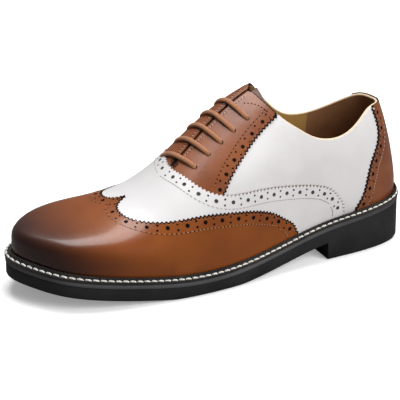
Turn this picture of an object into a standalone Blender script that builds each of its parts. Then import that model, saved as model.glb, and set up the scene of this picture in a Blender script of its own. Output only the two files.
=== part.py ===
# Two-colour wing-tip oxford, left shoe, standing on its sole.
# Blender 4.5, metres, +Z up, toe towards -X, outer (lateral) side towards -Y.
# Sizes below are in millimetres. A station is the distance from the back of the sole.
import bmesh
import bpy
import numpy as np
from mathutils import Vector

MM = 0.001

# Driving sizes of the shoe
LENGTH = 302.0
TOE_SWING = 6.0
SOLE_THICKNESS = 14.8
HEEL_LENGTH = 72.0
HEEL_BREAST_RUN = 0.6
WELT_THICKNESS = 2.0
BAND_THICKNESS = 3.2
WALL = 2.0
GAP = 0.3

# Half widths of the welt's outer edge: station, lateral, medial
WELT_PLAN = [
    (6, 15, 21),
    (30, 28.5, 34),
    (72, 35, 36),
    (110, 41, 33.5),
    (150, 50, 38),
    (190, 54, 48.5),
    (220, 52.5, 55),
    (250, 49, 53),
    (275, 39, 43),
    (292, 20, 28),
]

# Height of the welt's top: station, height
WELT_TOP = [
    (0, 34.5),
    (30, 31.5),
    (72, 27.5),
    (110, 20),
    (150, 14.5),
    (200, 15.0),
    (250, 21.5),
    (302, 28),
]

# How far the leather stands inside the welt's edge: station, inset
WELT_INSET = [(0, 4.5), (72, 5.0), (150, 5.5), (220, 6), (275, 7), (302, 8)]

# Sections of the last: station, swell lateral, swell medial, height of the swell
# over the welt, side fullness, top fullness, ridge height, ridge side, ridge tilt
SECTIONS = [
    (0, 0.0, 0.0, 8, 0.10, 0.65, 128, 0, 0),
    (30, 1.0, 1.5, 12, 0.24, 0.68, 130, 0, 0),
    (72, 1.5, 2.0, 18, 0.50, 0.68, 131, 4, 0.10),
    (105, 0.5, 4.0, 20, 0.56, 0.72, 126, 9, 0.35),
    (132, 0.0, 4.5, 20, 0.56, 0.78, 114.3, 6.5, 0.42),
    (160, 0.0, 2.5, 16, 0.52, 0.76, 95.8, 0, 0.36),
    (185, 1.0, 1.0, 12, 0.50, 0.68, 77.4, -6, 0.18),
    (215, 2.0, 2.0, 12, 0.55, 0.58, 59, 0, 0.04),
    (246, 1.5, 1.5, 12, 0.72, 0.75, 50.2, 4, 0),
    (302, 0.5, 0.5, 12, 0.84, 0.84, 50, 6, 0),
]
HEEL_POLE = 40.0
TOE_POLE = 246.0
POLE_SOFTNESS = 9.0
SWELL_SHARE = 0.22

# Top edge, as a share of the way from welt to ridge: station, lateral, medial
TOPLINE = [
    (0, 0.700, 0.695),
    (15, 0.694, 0.688),
    (30, 0.664, 0.642),
    (45, 0.580, 0.576),
    (58, 0.520, 0.525),
    (70, 0.503, 0.503),
    (84, 0.540, 0.530),
    (95, 0.622, 0.612),
    (104, 0.728, 0.722),
    (110, 0.850, 0.845),
    (116, 1.010, 1.010),
    (130, 1.500, 1.500),
]
THROAT = 182.0
SLIT_UP = 0.986

# Pattern lines on one side: share of the way up, station
WING_LINE = [
    (-0.1, 92), (0.055, 97.3), (0.10, 98.7), (0.195, 105.9), (0.26, 117.6), (0.323, 134.1),
    (0.422, 156.8), (0.514, 176.0), (0.568, 191.5), (0.64, 209.0), (0.715, 218.0),
    (0.82, 223.5), (0.925, 222.8), (0.972, 217.5), (1.0, 210.5),
]
BAND_LINE = [
    (-0.1, 57), (0.055, 58), (0.19, 60.4), (0.255, 66.5), (0.295, 78), (0.325, 93),
    (0.40, 125), (0.462, 143), (0.528, 155.2), (0.573, 161.0), (0.654, 168.4), (0.755, 174.3),
    (0.873, 179.0), (0.98, 182.3), (1.0, 182.6),
]
FACING_LINE = [
    (0.40, 161), (0.50, 158.5), (0.535, 155.3), (0.60, 147.7), (0.645, 138.6),
    (0.685, 128), (0.713, 116), (0.733, 104.4), (0.745, 96), (1.0, 92),
]
FACING_TIP = 0.5
COUNTER_LINE = [
    (-0.1, 52), (0.058, 47.8), (0.173, 43.4), (0.297, 39.3), (0.413, 34), (0.505, 26.3),
    (0.565, 23.2), (0.66, 25), (0.70, 26.8), (0.80, 30),
]

# Shoe lace: where each bar crosses the slit, and its eyelets
BAR_STATIONS = [175.5, 164.0, 153.5, 143.0, 131.5]
BAR_SLANT = 5.5
EYELET_UP_LATERAL = 0.848
EYELET_UP_MEDIAL = 0.815
LACE_DIAMETER = 2.8

# Mesh density: columns along one side, and rows from the welt to the top edge
COLUMNS = 30
ROWS = [0, 0.08, 0.17, 0.27, 0.38, 0.50, 0.62, 0.74, 0.85, 0.93, 1.0]
KEY_STATIONS = [HEEL_LENGTH, 112.0, 146.0, THROAT, 198.0]
FACING_TOP_STATIONS = [106.0, 117.0]


def clear_scene():
    for item in list(bpy.data.objects):
        bpy.data.objects.remove(item, do_unlink=True)


def spline(xs, ys, closed=False):
    """Cubic spline through the points, natural or closed"""
    xs = np.asarray(xs, float)
    ys = np.asarray(ys, float)
    h = np.diff(xs)
    count = len(xs)
    if closed:
        m = count - 1
        left = np.zeros((m, m))
        right = np.zeros((m,) + ys.shape[1:])
        for i in range(m):
            before = h[(i - 1) % m]
            left[i, (i - 1) % m] += before
            left[i, i] += 2 * (before + h[i])
            left[i, (i + 1) % m] += h[i]
            right[i] = 6 * ((ys[i + 1] - ys[i]) / h[i] - (ys[i] - ys[(i - 1) % m]) / before)
        bend = np.linalg.solve(left, right)
        bend = np.concatenate([bend, bend[:1]])
    else:
        left = np.eye(count)
        right = np.zeros(ys.shape)
        for i in range(1, count - 1):
            left[i, i - 1] = h[i - 1]
            left[i, i] = 2 * (h[i - 1] + h[i])
            left[i, i + 1] = h[i]
            right[i] = 6 * ((ys[i + 1] - ys[i]) / h[i] - (ys[i] - ys[i - 1]) / h[i - 1])
        bend = np.linalg.solve(left, right)

    def value(x):
        x = np.asarray(x, float)
        i = np.clip(np.searchsorted(xs, x, side="right") - 1, 0, count - 2)
        after = x - xs[i]
        before = xs[i + 1] - x
        step = h[i]
        if ys.ndim > 1:
            after, before, step = after[..., None], before[..., None], step[..., None]
        curve = (bend[i] * before**3 + bend[i + 1] * after**3) / (6 * step)
        line = (ys[i] / step - bend[i] * step / 6) * before
        return curve + line + (ys[i + 1] / step - bend[i + 1] * step / 6) * after

    return value


def table_line(table, column=1):
    rows = np.array(table, float)
    return lambda x: np.interp(x, rows[:, 0], rows[:, column])


def table_spline(table):
    rows = np.array(table, float)
    values = rows[:, 1] if rows.shape[1] == 2 else rows[:, 1:]
    return spline(rows[:, 0], values)


def outline_loop(samples=1200):
    """The welt's outer edge as a closed curve of (station, side)"""
    points = [(0, 0)]
    points += [(s, -lateral) for s, lateral, medial in WELT_PLAN]
    points += [(LENGTH, TOE_SWING)]
    points += [(s, medial) for s, lateral, medial in reversed(WELT_PLAN)]
    points += [(0, 0)]
    points = np.array(points, float)
    along = np.concatenate([[0], np.cumsum(np.linalg.norm(np.diff(points, axis=0), axis=1))])
    return spline(along, points, True)(np.linspace(0, along[-1], samples, endpoint=False))


def loop_normals(loop):
    tangent = np.roll(loop, -1, 0) - np.roll(loop, 1, 0)
    normal = np.stack([-tangent[:, 1], tangent[:, 0]], 1)
    normal /= np.linalg.norm(normal, axis=1)[:, None]
    if ((loop - loop.mean(0)) * normal).sum() < 0:
        normal = -normal
    return normal


WELT_EDGE = outline_loop()
welt_top = table_spline(WELT_TOP)
welt_inset = table_spline(WELT_INSET)
section = table_spline(SECTIONS)
topline = table_spline(TOPLINE)
FEATHER = WELT_EDGE - loop_normals(WELT_EDGE) * welt_inset(WELT_EDGE[:, 0])[:, None]
FEATHER_BACK = FEATHER[:, 0].min()
FEATHER_TIP = FEATHER[:, 0].max()
CENTRE_STATION = (WELT_EDGE[:, 0].min() + WELT_EDGE[:, 0].max()) / 2
CENTRE_SIDE = (WELT_EDGE[:, 1].min() + WELT_EDGE[:, 1].max()) / 2


def feather_sides():
    """The feather line's lateral and medial halves, each from heel to toe"""
    back = int(np.argmin(FEATHER[:, 0]))
    tip = int(np.argmax(FEATHER[:, 0]))
    count = len(FEATHER)
    first = FEATHER[np.arange(back, back + (tip - back) % count + 1) % count]
    second = FEATHER[np.arange(tip, tip + (back - tip) % count + 1) % count][::-1]
    return (first, second) if first[:, 1].mean() < 0 else (second, first)


LATERAL_HALF, MEDIAL_HALF = feather_sides()


def turn_at(station):
    """Angle round the shoe, 0 at the heel and pi at the toe, for a lateral station"""
    middle = (FEATHER_BACK + FEATHER_TIP) / 2
    reach = (FEATHER_TIP - FEATHER_BACK) / 2
    return np.arccos(np.clip((middle - np.asarray(station, float)) / reach, -1, 1))


def station_at(turn):
    middle = (FEATHER_BACK + FEATHER_TIP) / 2
    reach = (FEATHER_TIP - FEATHER_BACK) / 2
    return middle - reach * np.cos(turn)


def feather_at(turn):
    station = station_at(turn)
    lateral = np.interp(station, LATERAL_HALF[:, 0], LATERAL_HALF[:, 1])
    medial = np.interp(station, MEDIAL_HALF[:, 0], MEDIAL_HALF[:, 1])
    return np.stack([station, np.where(np.sin(turn) >= 0, lateral, medial)], -1)


def spine_at(station):
    """Station on the ridge that a column leans towards"""
    low = POLE_SOFTNESS * np.logaddexp(0, (station - HEEL_POLE) / POLE_SOFTNESS)
    high = POLE_SOFTNESS * np.logaddexp(0, (station - TOE_POLE) / POLE_SOFTNESS)
    return HEEL_POLE + low - high


def bezier(p0, p1, p2, p3, w):
    return p0 * (1 - w)**3 + 3 * p1 * w * (1 - w)**2 + 3 * p2 * w * w * (1 - w) + p3 * w**3


def skin(turn, up):
    """Outside of the leather at an angle round the shoe and a share of the way up"""
    turn, up = np.broadcast_arrays(np.asarray(turn, float), np.asarray(up, float))
    foot = feather_at(turn)
    station = foot[..., 0]
    spine = spine_at(station)
    own = section(station)
    ridge = section(spine)
    swell = np.where(np.sin(turn) >= 0, own[..., 0], own[..., 1])
    swell_height, side_full, top_full = own[..., 2], own[..., 3], own[..., 4]
    ridge_z, ridge_y, tilt = ridge[..., 5], ridge[..., 6], ridge[..., 7]
    slope = section(spine + 0.5)[..., 5] - section(spine - 0.5)[..., 5]
    centre = np.stack([spine, ridge_y], -1)
    reach = np.linalg.norm(foot - centre, axis=-1)
    ray = (foot - centre) / reach[..., None]
    base = welt_top(station) + GAP
    bulge_z = base + swell_height
    bulge_r = reach + swell
    low = np.clip(up / SWELL_SHARE, 0, 1)
    high = np.clip((up - SWELL_SHARE) / (1 - SWELL_SHARE), 0, 1)
    low_r = bezier(reach, reach + 0.6 * swell, bulge_r, bulge_r, low)
    low_z = bezier(base, base + 0.33 * swell_height, bulge_z - 0.4 * swell_height, bulge_z, low)
    lift = (slope * ray[..., 0] + tilt * ray[..., 1]) * top_full * bulge_r
    high_r = bezier(bulge_r, bulge_r, top_full * bulge_r, 0 * bulge_r, high)
    high_z = bezier(bulge_z, bulge_z + side_full * (ridge_z - bulge_z), ridge_z + lift, ridge_z, high)
    r = np.where(up < SWELL_SHARE, low_r, high_r)
    z = np.where(up < SWELL_SHARE, low_z, high_z) + np.minimum(up, 0) * 50
    flat = centre + ray * r[..., None]
    return np.stack([CENTRE_STATION - flat[..., 0], flat[..., 1] - CENTRE_SIDE, z], -1)


def skin_normal(turn, up):
    turn, up = np.broadcast_arrays(np.asarray(turn, float), np.asarray(up, float))
    up = np.clip(up, 0.012, 0.985)
    round_step = skin(turn + 0.02, up) - skin(turn - 0.02, up)
    up_step = skin(turn, up + 0.01) - skin(turn, up - 0.01)
    normal = np.cross(up_step, round_step)
    return normal / np.linalg.norm(normal, axis=-1)[..., None]


def offset_skin(turn, up, out):
    return skin(turn, up) + skin_normal(turn, up) * out


def top_share(turn):
    """Where the leather ends: the collar and the slit behind the throat, the ridge ahead"""
    station = station_at(turn)
    both = topline(np.minimum(station, 130))
    edge = np.minimum(np.where(np.sin(turn) >= 0, both[..., 0], both[..., 1]), SLIT_UP)
    return np.where(station >= THROAT - 0.01, 1.0, np.where(station > 116, SLIT_UP, edge))


def column_turns(keys, extra=()):
    """Angles of the columns on both sides, some moved to key stations and some added"""
    stations = station_at(np.linspace(0, np.pi, COLUMNS + 1))
    for key in keys:
        stations[1:-1][np.argmin(abs(stations[1:-1] - key))] = key
    half = turn_at(np.sort(np.append(stations, extra)))
    half[0], half[-1] = 0, np.pi
    return np.concatenate([half, 2 * np.pi - half[-2:0:-1]])


TURNS = column_turns(KEY_STATIONS, FACING_TOP_STATIONS)


def material(name, colour, roughness, metallic=0.0):
    made = bpy.data.materials.new(name)
    made.use_nodes = True
    shader = made.node_tree.nodes["Principled BSDF"]
    shader.inputs["Base Color"].default_value = (*colour, 1)
    shader.inputs["Roughness"].default_value = roughness
    shader.inputs["Metallic"].default_value = metallic
    made.diffuse_color = (*colour, 1)
    return made


def mesh_object(name, points, faces, surface=None):
    """One closed body from points in millimetres"""
    mesh = bpy.data.meshes.new(name)
    mesh.from_pydata([Vector(p) * MM for p in points], [], faces)
    body = bmesh.new()
    body.from_mesh(mesh)
    bmesh.ops.recalc_face_normals(body, faces=body.faces)
    body.to_mesh(mesh)
    body.free()
    made = bpy.data.objects.new(name, mesh)
    bpy.context.scene.collection.objects.link(made)
    if surface:
        mesh.materials.append(surface)
    return made


def triangles(corners):
    """Two triangles for a quad, fewer where its corners fall together"""
    a, b, c, d = corners
    return [t for t in ((a, b, c), (a, c, d)) if len(set(t)) == 3]


def thicken(name, faces, outer, inner, surface=None):
    """Closed body between two layers that share their faces"""
    count = len(outer)
    edges = {(f[i], f[(i + 1) % 3]) for f in faces for i in range(3)}
    rim = [(a, b) for a, b in edges if (b, a) not in edges]
    solid = list(faces)
    solid += [(c + count, b + count, a + count) for a, b, c in faces]
    for a, b in sorted(rim):
        solid += triangles((b, a, a + count, b + count))
    used = sorted({i for f in solid for i in f})
    renumber = {old: new for new, old in enumerate(used)}
    points = np.concatenate([outer, inner])[used]
    return mesh_object(name, points, [tuple(renumber[i] for i in f) for f in solid], surface)


def leather_grid(turns, shares, closed):
    """Faces of a net over the last, zipped along the ridge ahead of the throat"""
    rows, columns = shares.shape
    index = np.arange(rows * columns).reshape(rows, columns)
    top = index[-1]
    pole = None
    first = {}
    for k, turn in enumerate(turns):
        station = station_at(turn)
        if shares[-1, k] < 1:
            continue
        if station > TOE_POLE + 16:
            pole = top[k] if pole is None else pole
            top[k] = pole
        else:
            top[k] = first.setdefault(round(float(station), 3), top[k])
    faces = []
    for j in range(rows - 1):
        for k in range(columns if closed else columns - 1):
            n = (k + 1) % columns
            faces += triangles((index[j, k], index[j, n], index[j + 1, n], index[j + 1, k]))
    return [tuple(int(i) for i in face) for face in faces]


def leather_shell(name, turns, shares, inner, outer, surface, closed=False):
    faces = leather_grid(turns, shares, closed)
    across = np.broadcast_to(turns, shares.shape)
    layers = []
    for out in (outer, inner):
        layer = offset_skin(across, shares, out)
        layer[0, :, 2] = welt_top(CENTRE_STATION - layer[0, :, 0]) + GAP
        layers.append(layer.reshape(-1, 3))
    return thicken(name, faces, *layers, surface)


def full_shares(turns):
    return np.array(ROWS)[:, None] * top_share(turns)[None, :]


def turns_between(low, high, ahead=True):
    """Columns round the toe, or round the heel, within a range of stations"""
    stations = station_at(TURNS)
    inside = (stations > low) & (stations < high)
    if ahead:
        return TURNS[inside]
    return np.concatenate([TURNS[inside & (TURNS > np.pi)] - 2 * np.pi, TURNS[inside & (TURNS <= np.pi)]])


CUTTER_DEPTH = 2.8
CUTTER_HEIGHT = 6.0


def cutter(name, rows):
    """Thick block over the leather, each row a list of (turn, share)"""
    net = np.array(rows, float)
    count, across = net.shape[:2]
    index = np.arange(count * across).reshape(count, across)
    faces = []
    for j in range(count - 1):
        for k in range(across - 1):
            faces += triangles((index[j, k], index[j, k + 1], index[j + 1, k + 1], index[j + 1, k]))
    faces = [tuple(int(i) for i in face) for face in faces]
    outside = offset_skin(net[..., 0], net[..., 1], CUTTER_HEIGHT).reshape(-1, 3)
    inside = offset_skin(net[..., 0], net[..., 1], -CUTTER_DEPTH).reshape(-1, 3)
    made = thicken(name, faces, outside, inside)
    made.hide_render = True
    made.display_type = "WIRE"
    return made


def cut(body, tool, operation):
    step = body.modifiers.new(operation.lower(), "BOOLEAN")
    step.object = tool
    step.operation = operation
    step.solver = "EXACT"


def across_ridge(first, last, shares, across=9):
    """Rows from the lateral welt over the ridge to the medial welt"""
    lateral = []
    for up in shares:
        lateral.append([(turn_at(s), up) for s in np.linspace(first(up), last(up), across)])
    medial = [[(2 * np.pi - turn, up) for turn, up in row] for row in reversed(lateral[:-1])]
    return lateral + medial


def edge_shares(top, count=19):
    return np.concatenate([[-0.08], np.linspace(0, top, count)])


# Sole: loops at a distance out from the feather line


def loop_round(turns, out, height):
    """Closed loop beside the feather line, at a height that depends on the station"""
    here = feather_at(turns)
    flat = here + loop_normals(here) * np.broadcast_to(out, len(turns))[:, None]
    return np.stack([CENTRE_STATION - flat[:, 0], flat[:, 1] - CENTRE_SIDE, height(flat[:, 0])], 1)


def over_welt(lift):
    """Height function at a distance over the welt's top"""
    return lambda station: welt_top(station) + lift


def wall_faces(count, loops):
    faces = []
    for j in range(loops - 1):
        for k in range(count):
            n = (k + 1) % count
            faces += triangles((j * count + k, j * count + n, (j + 1) * count + n, (j + 1) * count + k))
    return faces


def cap_faces(count, start, up):
    """Strips across a loop whose columns k and count-k face each other"""
    faces = []
    for k in range(count // 2):
        a, b = start + k, start + k + 1
        c, d = start + (count - k - 1) % count, start + (count - k) % count
        faces += triangles((a, b, c, d))
    return faces if up else [tuple(reversed(f)) for f in faces]


def stacked_body(name, loops, surface):
    """Closed body from loops listed from its underside to its top"""
    count = len(loops[0])
    faces = cap_faces(count, 0, False)
    faces += wall_faces(count, len(loops))
    faces += cap_faces(count, (len(loops) - 1) * count, True)
    return mesh_object(name, np.concatenate(loops), faces, surface)


def ring_body(name, loops, surface):
    """Closed ring whose last loop joins its first"""
    count = len(loops[0])
    faces = wall_faces(count, len(loops) + 1)
    total = count * len(loops)
    faces = [tuple(i % total for i in face) for face in faces]
    return mesh_object(name, np.concatenate(loops), faces, surface)


BAND_SETBACK = 0.4
OUTSOLE_SETBACK = 0.7
TREAD_BEVEL = 1.2
BEAD_START = 2.1
BEAD_HEIGHT = 2.9
BEAD_SHARE = 0.27
RING_INSIDE = 7.0
INSOLE_THICKNESS = 2.6


def welt_reach(turns):
    return welt_inset(station_at(turns))


def bead_start(turns):
    """The bead stands clear of the pieces over the leather, which swells above it"""
    own = section(station_at(turns))
    swell = np.where(np.sin(turns) >= 0, own[:, 0], own[:, 1])
    return BEAD_START + 2 * BEAD_HEIGHT * swell / own[:, 2]


def tread_loop(turns, out, lift):
    """Loop over the tread: heel block, breast, then arch, flat ball and toe spring"""
    loop = loop_round(turns, out, over_welt(0))
    sole = np.maximum(loop[:, 2] - SOLE_THICKNESS, 0)
    heel = station_at(turns) < HEEL_LENGTH + HEEL_BREAST_RUN / 2
    loop[:, 2] = np.where(heel, 0, sole) + lift
    return loop


def make_outsole():
    rubber = material("outsole_rubber", (0.022, 0.023, 0.026), 0.55)
    half = TURNS[TURNS < np.pi - 1e-6]
    half = np.sort(np.append(half, turn_at(HEEL_LENGTH + HEEL_BREAST_RUN)))
    turns = np.concatenate([half, [np.pi], 2 * np.pi - half[:0:-1]])
    top = over_welt(-WELT_THICKNESS - BAND_THICKNESS - 2 * GAP)
    reach = welt_reach(turns) - OUTSOLE_SETBACK
    loops = [
        tread_loop(turns, reach - TREAD_BEVEL, 0),
        tread_loop(turns, reach - 0.35 * TREAD_BEVEL, 0.35 * TREAD_BEVEL),
        tread_loop(turns, reach, TREAD_BEVEL),
        loop_round(turns, reach, top),
    ]
    return stacked_body("outsole", loops, rubber)


def make_midsole():
    grey = material("midsole_grey_rubber", (0.075, 0.078, 0.085), 0.6)
    reach = welt_reach(TURNS) - BAND_SETBACK
    inside = -RING_INSIDE - GAP
    top = -WELT_THICKNESS - GAP
    loops = [
        loop_round(TURNS, reach, over_welt(top - BAND_THICKNESS)),
        loop_round(TURNS, reach, over_welt(top)),
        loop_round(TURNS, inside, over_welt(top)),
        loop_round(TURNS, inside, over_welt(-GAP)),
    ]
    return stacked_body("midsole", loops, grey)


def make_welt():
    black = material("welt_black_leather", (0.02, 0.018, 0.017), 0.5)
    reach = welt_reach(TURNS)
    bead = BEAD_SHARE * reach
    start = bead_start(TURNS)
    loops = [
        loop_round(TURNS, -RING_INSIDE, over_welt(0)),
        loop_round(TURNS, -RING_INSIDE, over_welt(-WELT_THICKNESS)),
        loop_round(TURNS, reach, over_welt(-WELT_THICKNESS)),
        loop_round(TURNS, reach, over_welt(0)),
        loop_round(TURNS, start + bead, over_welt(0)),
        loop_round(TURNS, start + 0.6 * bead, over_welt(BEAD_HEIGHT)),
        loop_round(TURNS, start, over_welt(0.9 * BEAD_HEIGHT)),
        loop_round(TURNS, start, over_welt(0)),
    ]
    return ring_body("welt", loops, black)


def make_insole():
    tan = material("insole_leather", (0.30, 0.17, 0.085), 0.7)
    inside = -WALL - 0.4
    loops = [
        loop_round(TURNS, inside, over_welt(GAP)),
        loop_round(TURNS, inside, over_welt(GAP + INSOLE_THICKNESS)),
    ]
    return stacked_body("insole", loops, tan)


def make_upper():
    white = material("upper_white_leather", (0.74, 0.72, 0.71), 0.42)
    return leather_shell("upper", TURNS, full_shares(TURNS), -WALL, 0, white, closed=True)


TONGUE_RANGE = (114.0, 202.0)
TONGUE_THICKNESS = 1.8
TONGUE_ROWS = 4


def make_tongue():
    brown = material("tongue_brown_leather", (0.23, 0.10, 0.05), 0.5)
    stations = station_at(TURNS)
    chosen = (stations > TONGUE_RANGE[0]) & (stations < TONGUE_RANGE[1]) & (TURNS < np.pi)
    lateral = TURNS[chosen]
    shares = []
    for row in ROWS[-TONGUE_ROWS:]:
        shares.append(np.minimum(row * top_share(lateral), SLIT_UP))
    over = shares + [np.ones(len(lateral))] + shares[::-1]
    sides = np.array([lateral] * (len(shares) + 1) + [2 * np.pi - lateral] * len(shares))
    over = np.array(over)
    rows, columns = over.shape
    index = np.arange(rows * columns).reshape(rows, columns)
    faces = []
    for j in range(rows - 1):
        for k in range(columns - 1):
            faces += triangles((index[j, k], index[j, k + 1], index[j + 1, k + 1], index[j + 1, k]))
    faces = [tuple(int(i) for i in face) for face in faces]
    outer = offset_skin(sides, over, -WALL - 0.4).reshape(-1, 3)
    inner = offset_skin(sides, over, -WALL - 0.4 - TONGUE_THICKNESS).reshape(-1, 3)
    return thicken("tongue", faces, outer, inner, brown)


VAMP_LAYER = (0.3, 1.3)
WING_LAYER = (0.3, 1.7)
COUNTER_LAYER = (0.3, 1.4)
FACING_LAYER = (0.3, 1.3)


def make_wing_cap():
    brown = material("wing_cap_brown_leather", (0.27, 0.10, 0.035), 0.36)
    turns = turns_between(84, 400)
    body = leather_shell("wing_cap", turns, full_shares(turns), *WING_LAYER, brown)
    line = table_line(WING_LINE)
    rows = across_ridge(lambda up: 76.0, line, edge_shares(1.0), 16)
    tool = cutter("wing_cap_trim", rows)
    cut(body, tool, "DIFFERENCE")
    return body


def make_vamp():
    white = material("vamp_white_leather", (0.76, 0.74, 0.73), 0.42)
    turns = turns_between(48, 236)
    wing = table_line(WING_LINE)
    band = table_line(BAND_LINE)
    rows = across_ridge(lambda up: band(up), lambda up: wing(up) - GAP, edge_shares(1.0))
    tool = cutter("vamp_trim", rows)
    pieces = leather_shell("vamp", TURNS, full_shares(TURNS), *VAMP_LAYER, white, closed=True)
    cut(pieces, tool, "INTERSECT")
    return pieces


def make_facing(side):
    name = "facing_" + side
    brown = material(name + "_leather", (0.30, 0.125, 0.07), 0.38)
    turns = TURNS if side == "lateral" else 2 * np.pi - TURNS
    body = leather_shell(name, TURNS, full_shares(TURNS), *FACING_LAYER, brown, closed=True)
    band = table_line(BAND_LINE)
    rear = table_line(FACING_LINE)
    rows = []
    shares = [up for up in edge_shares(1.0) if up > FACING_TIP - 0.01]
    for up in shares[:-1] + [0.994]:
        stop = band(up) - 2 * GAP
        start = min(rear(up), stop - 1.5)
        row = [(turn_at(s), up) for s in np.linspace(start, stop, 7)]
        if side == "medial":
            row = [(2 * np.pi - turn, share) for turn, share in reversed(row)]
        rows.append(row)
    tool = cutter(name + "_trim", rows)
    cut(body, tool, "INTERSECT")
    return body


def make_counter():
    brown = material("heel_counter_brown_leather", (0.27, 0.11, 0.05), 0.38)
    body = leather_shell("heel_counter", TURNS, full_shares(TURNS), *COUNTER_LAYER, brown, closed=True)
    line = table_line(COUNTER_LINE)
    rows = []
    for up in edge_shares(0.8, 14):
        reach = float(turn_at(line(up)))
        rows.append([(turn, up) for turn in np.linspace(-reach, reach, 15)])
    tool = cutter("heel_counter_trim", rows)
    cut(body, tool, "INTERSECT")
    return body


BAR_STEPS = 6
BAR_SIDES = 8


def make_lace_bar(number, station):
    """One straight bar of lace over the slit, from eyelet to eyelet"""
    cord = material("lace_cord_%d" % number, (0.42, 0.20, 0.085), 0.75)
    radius = LACE_DIAMETER / 2
    clear = FACING_LAYER[1] + GAP + 0.25 + radius
    lateral = offset_skin(turn_at(station - BAR_SLANT), EYELET_UP_LATERAL, clear)
    medial = offset_skin(2 * np.pi - turn_at(station + BAR_SLANT), EYELET_UP_MEDIAL, clear)
    ridge = offset_skin(turn_at(station), 1.0, clear)
    path = []
    for w in np.linspace(0, 1, BAR_STEPS + 1):
        up = EYELET_UP_LATERAL + (1 - EYELET_UP_LATERAL) * w
        path.append(offset_skin(turn_at(station - BAR_SLANT * (1 - w)), up, clear))
    for w in np.linspace(0, 1, BAR_STEPS + 1)[1:]:
        up = 1.0 + (EYELET_UP_MEDIAL - 1.0) * w
        path.append(offset_skin(2 * np.pi - turn_at(station + BAR_SLANT * w), up, clear))
    path = np.array(path)
    along = np.gradient(path, axis=0)
    along /= np.linalg.norm(along, axis=1)[:, None]
    side = np.cross(along, [0, 0, 1.0])
    side /= np.linalg.norm(side, axis=1)[:, None]
    over = np.cross(side, along)
    points = []
    for centre, a, b in zip(path, side, over):
        for k in range(BAR_SIDES):
            angle = 2 * np.pi * k / BAR_SIDES
            points.append(centre + radius * (np.cos(angle) * a + np.sin(angle) * b))
    rings = len(path)
    faces = []
    for j in range(rings - 1):
        for k in range(BAR_SIDES):
            n = (k + 1) % BAR_SIDES
            faces.append((j * BAR_SIDES + k, (j + 1) * BAR_SIDES + k, (j + 1) * BAR_SIDES + n, j * BAR_SIDES + n))
    faces.append(tuple(range(BAR_SIDES)))
    faces.append(tuple((rings - 1) * BAR_SIDES + k for k in reversed(range(BAR_SIDES))))
    return mesh_object("lace_bar_%d" % number, points, faces, cord)


clear_scene()
make_outsole()
make_midsole()
make_welt()
make_insole()
make_upper()
make_tongue()
make_vamp()
make_wing_cap()
make_facing("lateral")
make_facing("medial")
make_counter()
for number, station in enumerate(BAR_STATIONS, 1):
    make_lace_bar(number, station)
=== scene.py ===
import math

import bmesh
import bpy
import numpy as np
from mathutils import Matrix, Vector
from mathutils.geometry import delaunay_2d_cdt


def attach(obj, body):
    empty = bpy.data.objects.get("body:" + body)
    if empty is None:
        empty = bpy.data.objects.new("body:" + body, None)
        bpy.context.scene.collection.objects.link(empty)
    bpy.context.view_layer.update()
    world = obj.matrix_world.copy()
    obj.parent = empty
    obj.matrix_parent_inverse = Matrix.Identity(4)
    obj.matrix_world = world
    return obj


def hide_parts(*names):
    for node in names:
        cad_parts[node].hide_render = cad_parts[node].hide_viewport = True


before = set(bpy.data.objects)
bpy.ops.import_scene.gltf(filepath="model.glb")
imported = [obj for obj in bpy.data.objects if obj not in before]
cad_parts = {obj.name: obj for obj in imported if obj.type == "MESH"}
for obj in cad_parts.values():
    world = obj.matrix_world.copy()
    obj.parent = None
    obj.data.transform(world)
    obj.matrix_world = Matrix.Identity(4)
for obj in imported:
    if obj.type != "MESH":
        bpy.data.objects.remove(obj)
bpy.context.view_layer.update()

# The last: the wooden form that the leather is pulled over. Its plan follows the welt,
# and each column of leather runs from the welt up to the ridge over the instep.
# Millimetres; a station is the distance from the back of the sole.
MM = 0.001
LENGTH = 302.0
TOE_SWING = 6.0
WELT_PLAN = [
    (6, 15, 21), (30, 28.5, 34), (72, 35, 36), (110, 41, 33.5), (150, 50, 38),
    (190, 54, 48.5), (220, 52.5, 55), (250, 49, 53), (275, 39, 43), (292, 20, 28),
]
WELT_TOP = [(0, 34.5), (30, 31.5), (72, 27.5), (110, 20), (150, 14.5), (200, 15), (250, 21.5), (302, 28)]
WELT_INSET = [(0, 4.5), (72, 5.0), (150, 5.5), (220, 6), (275, 7), (302, 8)]
SECTIONS = [
    (0, 0.0, 0.0, 8, 0.10, 0.65, 128, 0, 0),
    (30, 1.0, 1.5, 12, 0.24, 0.68, 130, 0, 0),
    (72, 1.5, 2.0, 18, 0.50, 0.68, 131, 4, 0.10),
    (105, 0.5, 4.0, 20, 0.56, 0.72, 126, 9, 0.35),
    (132, 0.0, 4.5, 20, 0.56, 0.78, 114.3, 6.5, 0.42),
    (160, 0.0, 2.5, 16, 0.52, 0.76, 95.8, 0, 0.36),
    (185, 1.0, 1.0, 12, 0.50, 0.68, 77.4, -6, 0.18),
    (215, 2.0, 2.0, 12, 0.55, 0.58, 59, 0, 0.04),
    (246, 1.5, 1.5, 12, 0.72, 0.75, 50.2, 4, 0),
    (302, 0.5, 0.5, 12, 0.84, 0.84, 50, 6, 0),
]
HEEL_POLE = 40.0
TOE_POLE = 246.0
POLE_SOFTNESS = 9.0
SWELL_SHARE = 0.22
SKIRT_PER_SHARE = 50.0
CLEARANCE = 0.3


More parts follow.
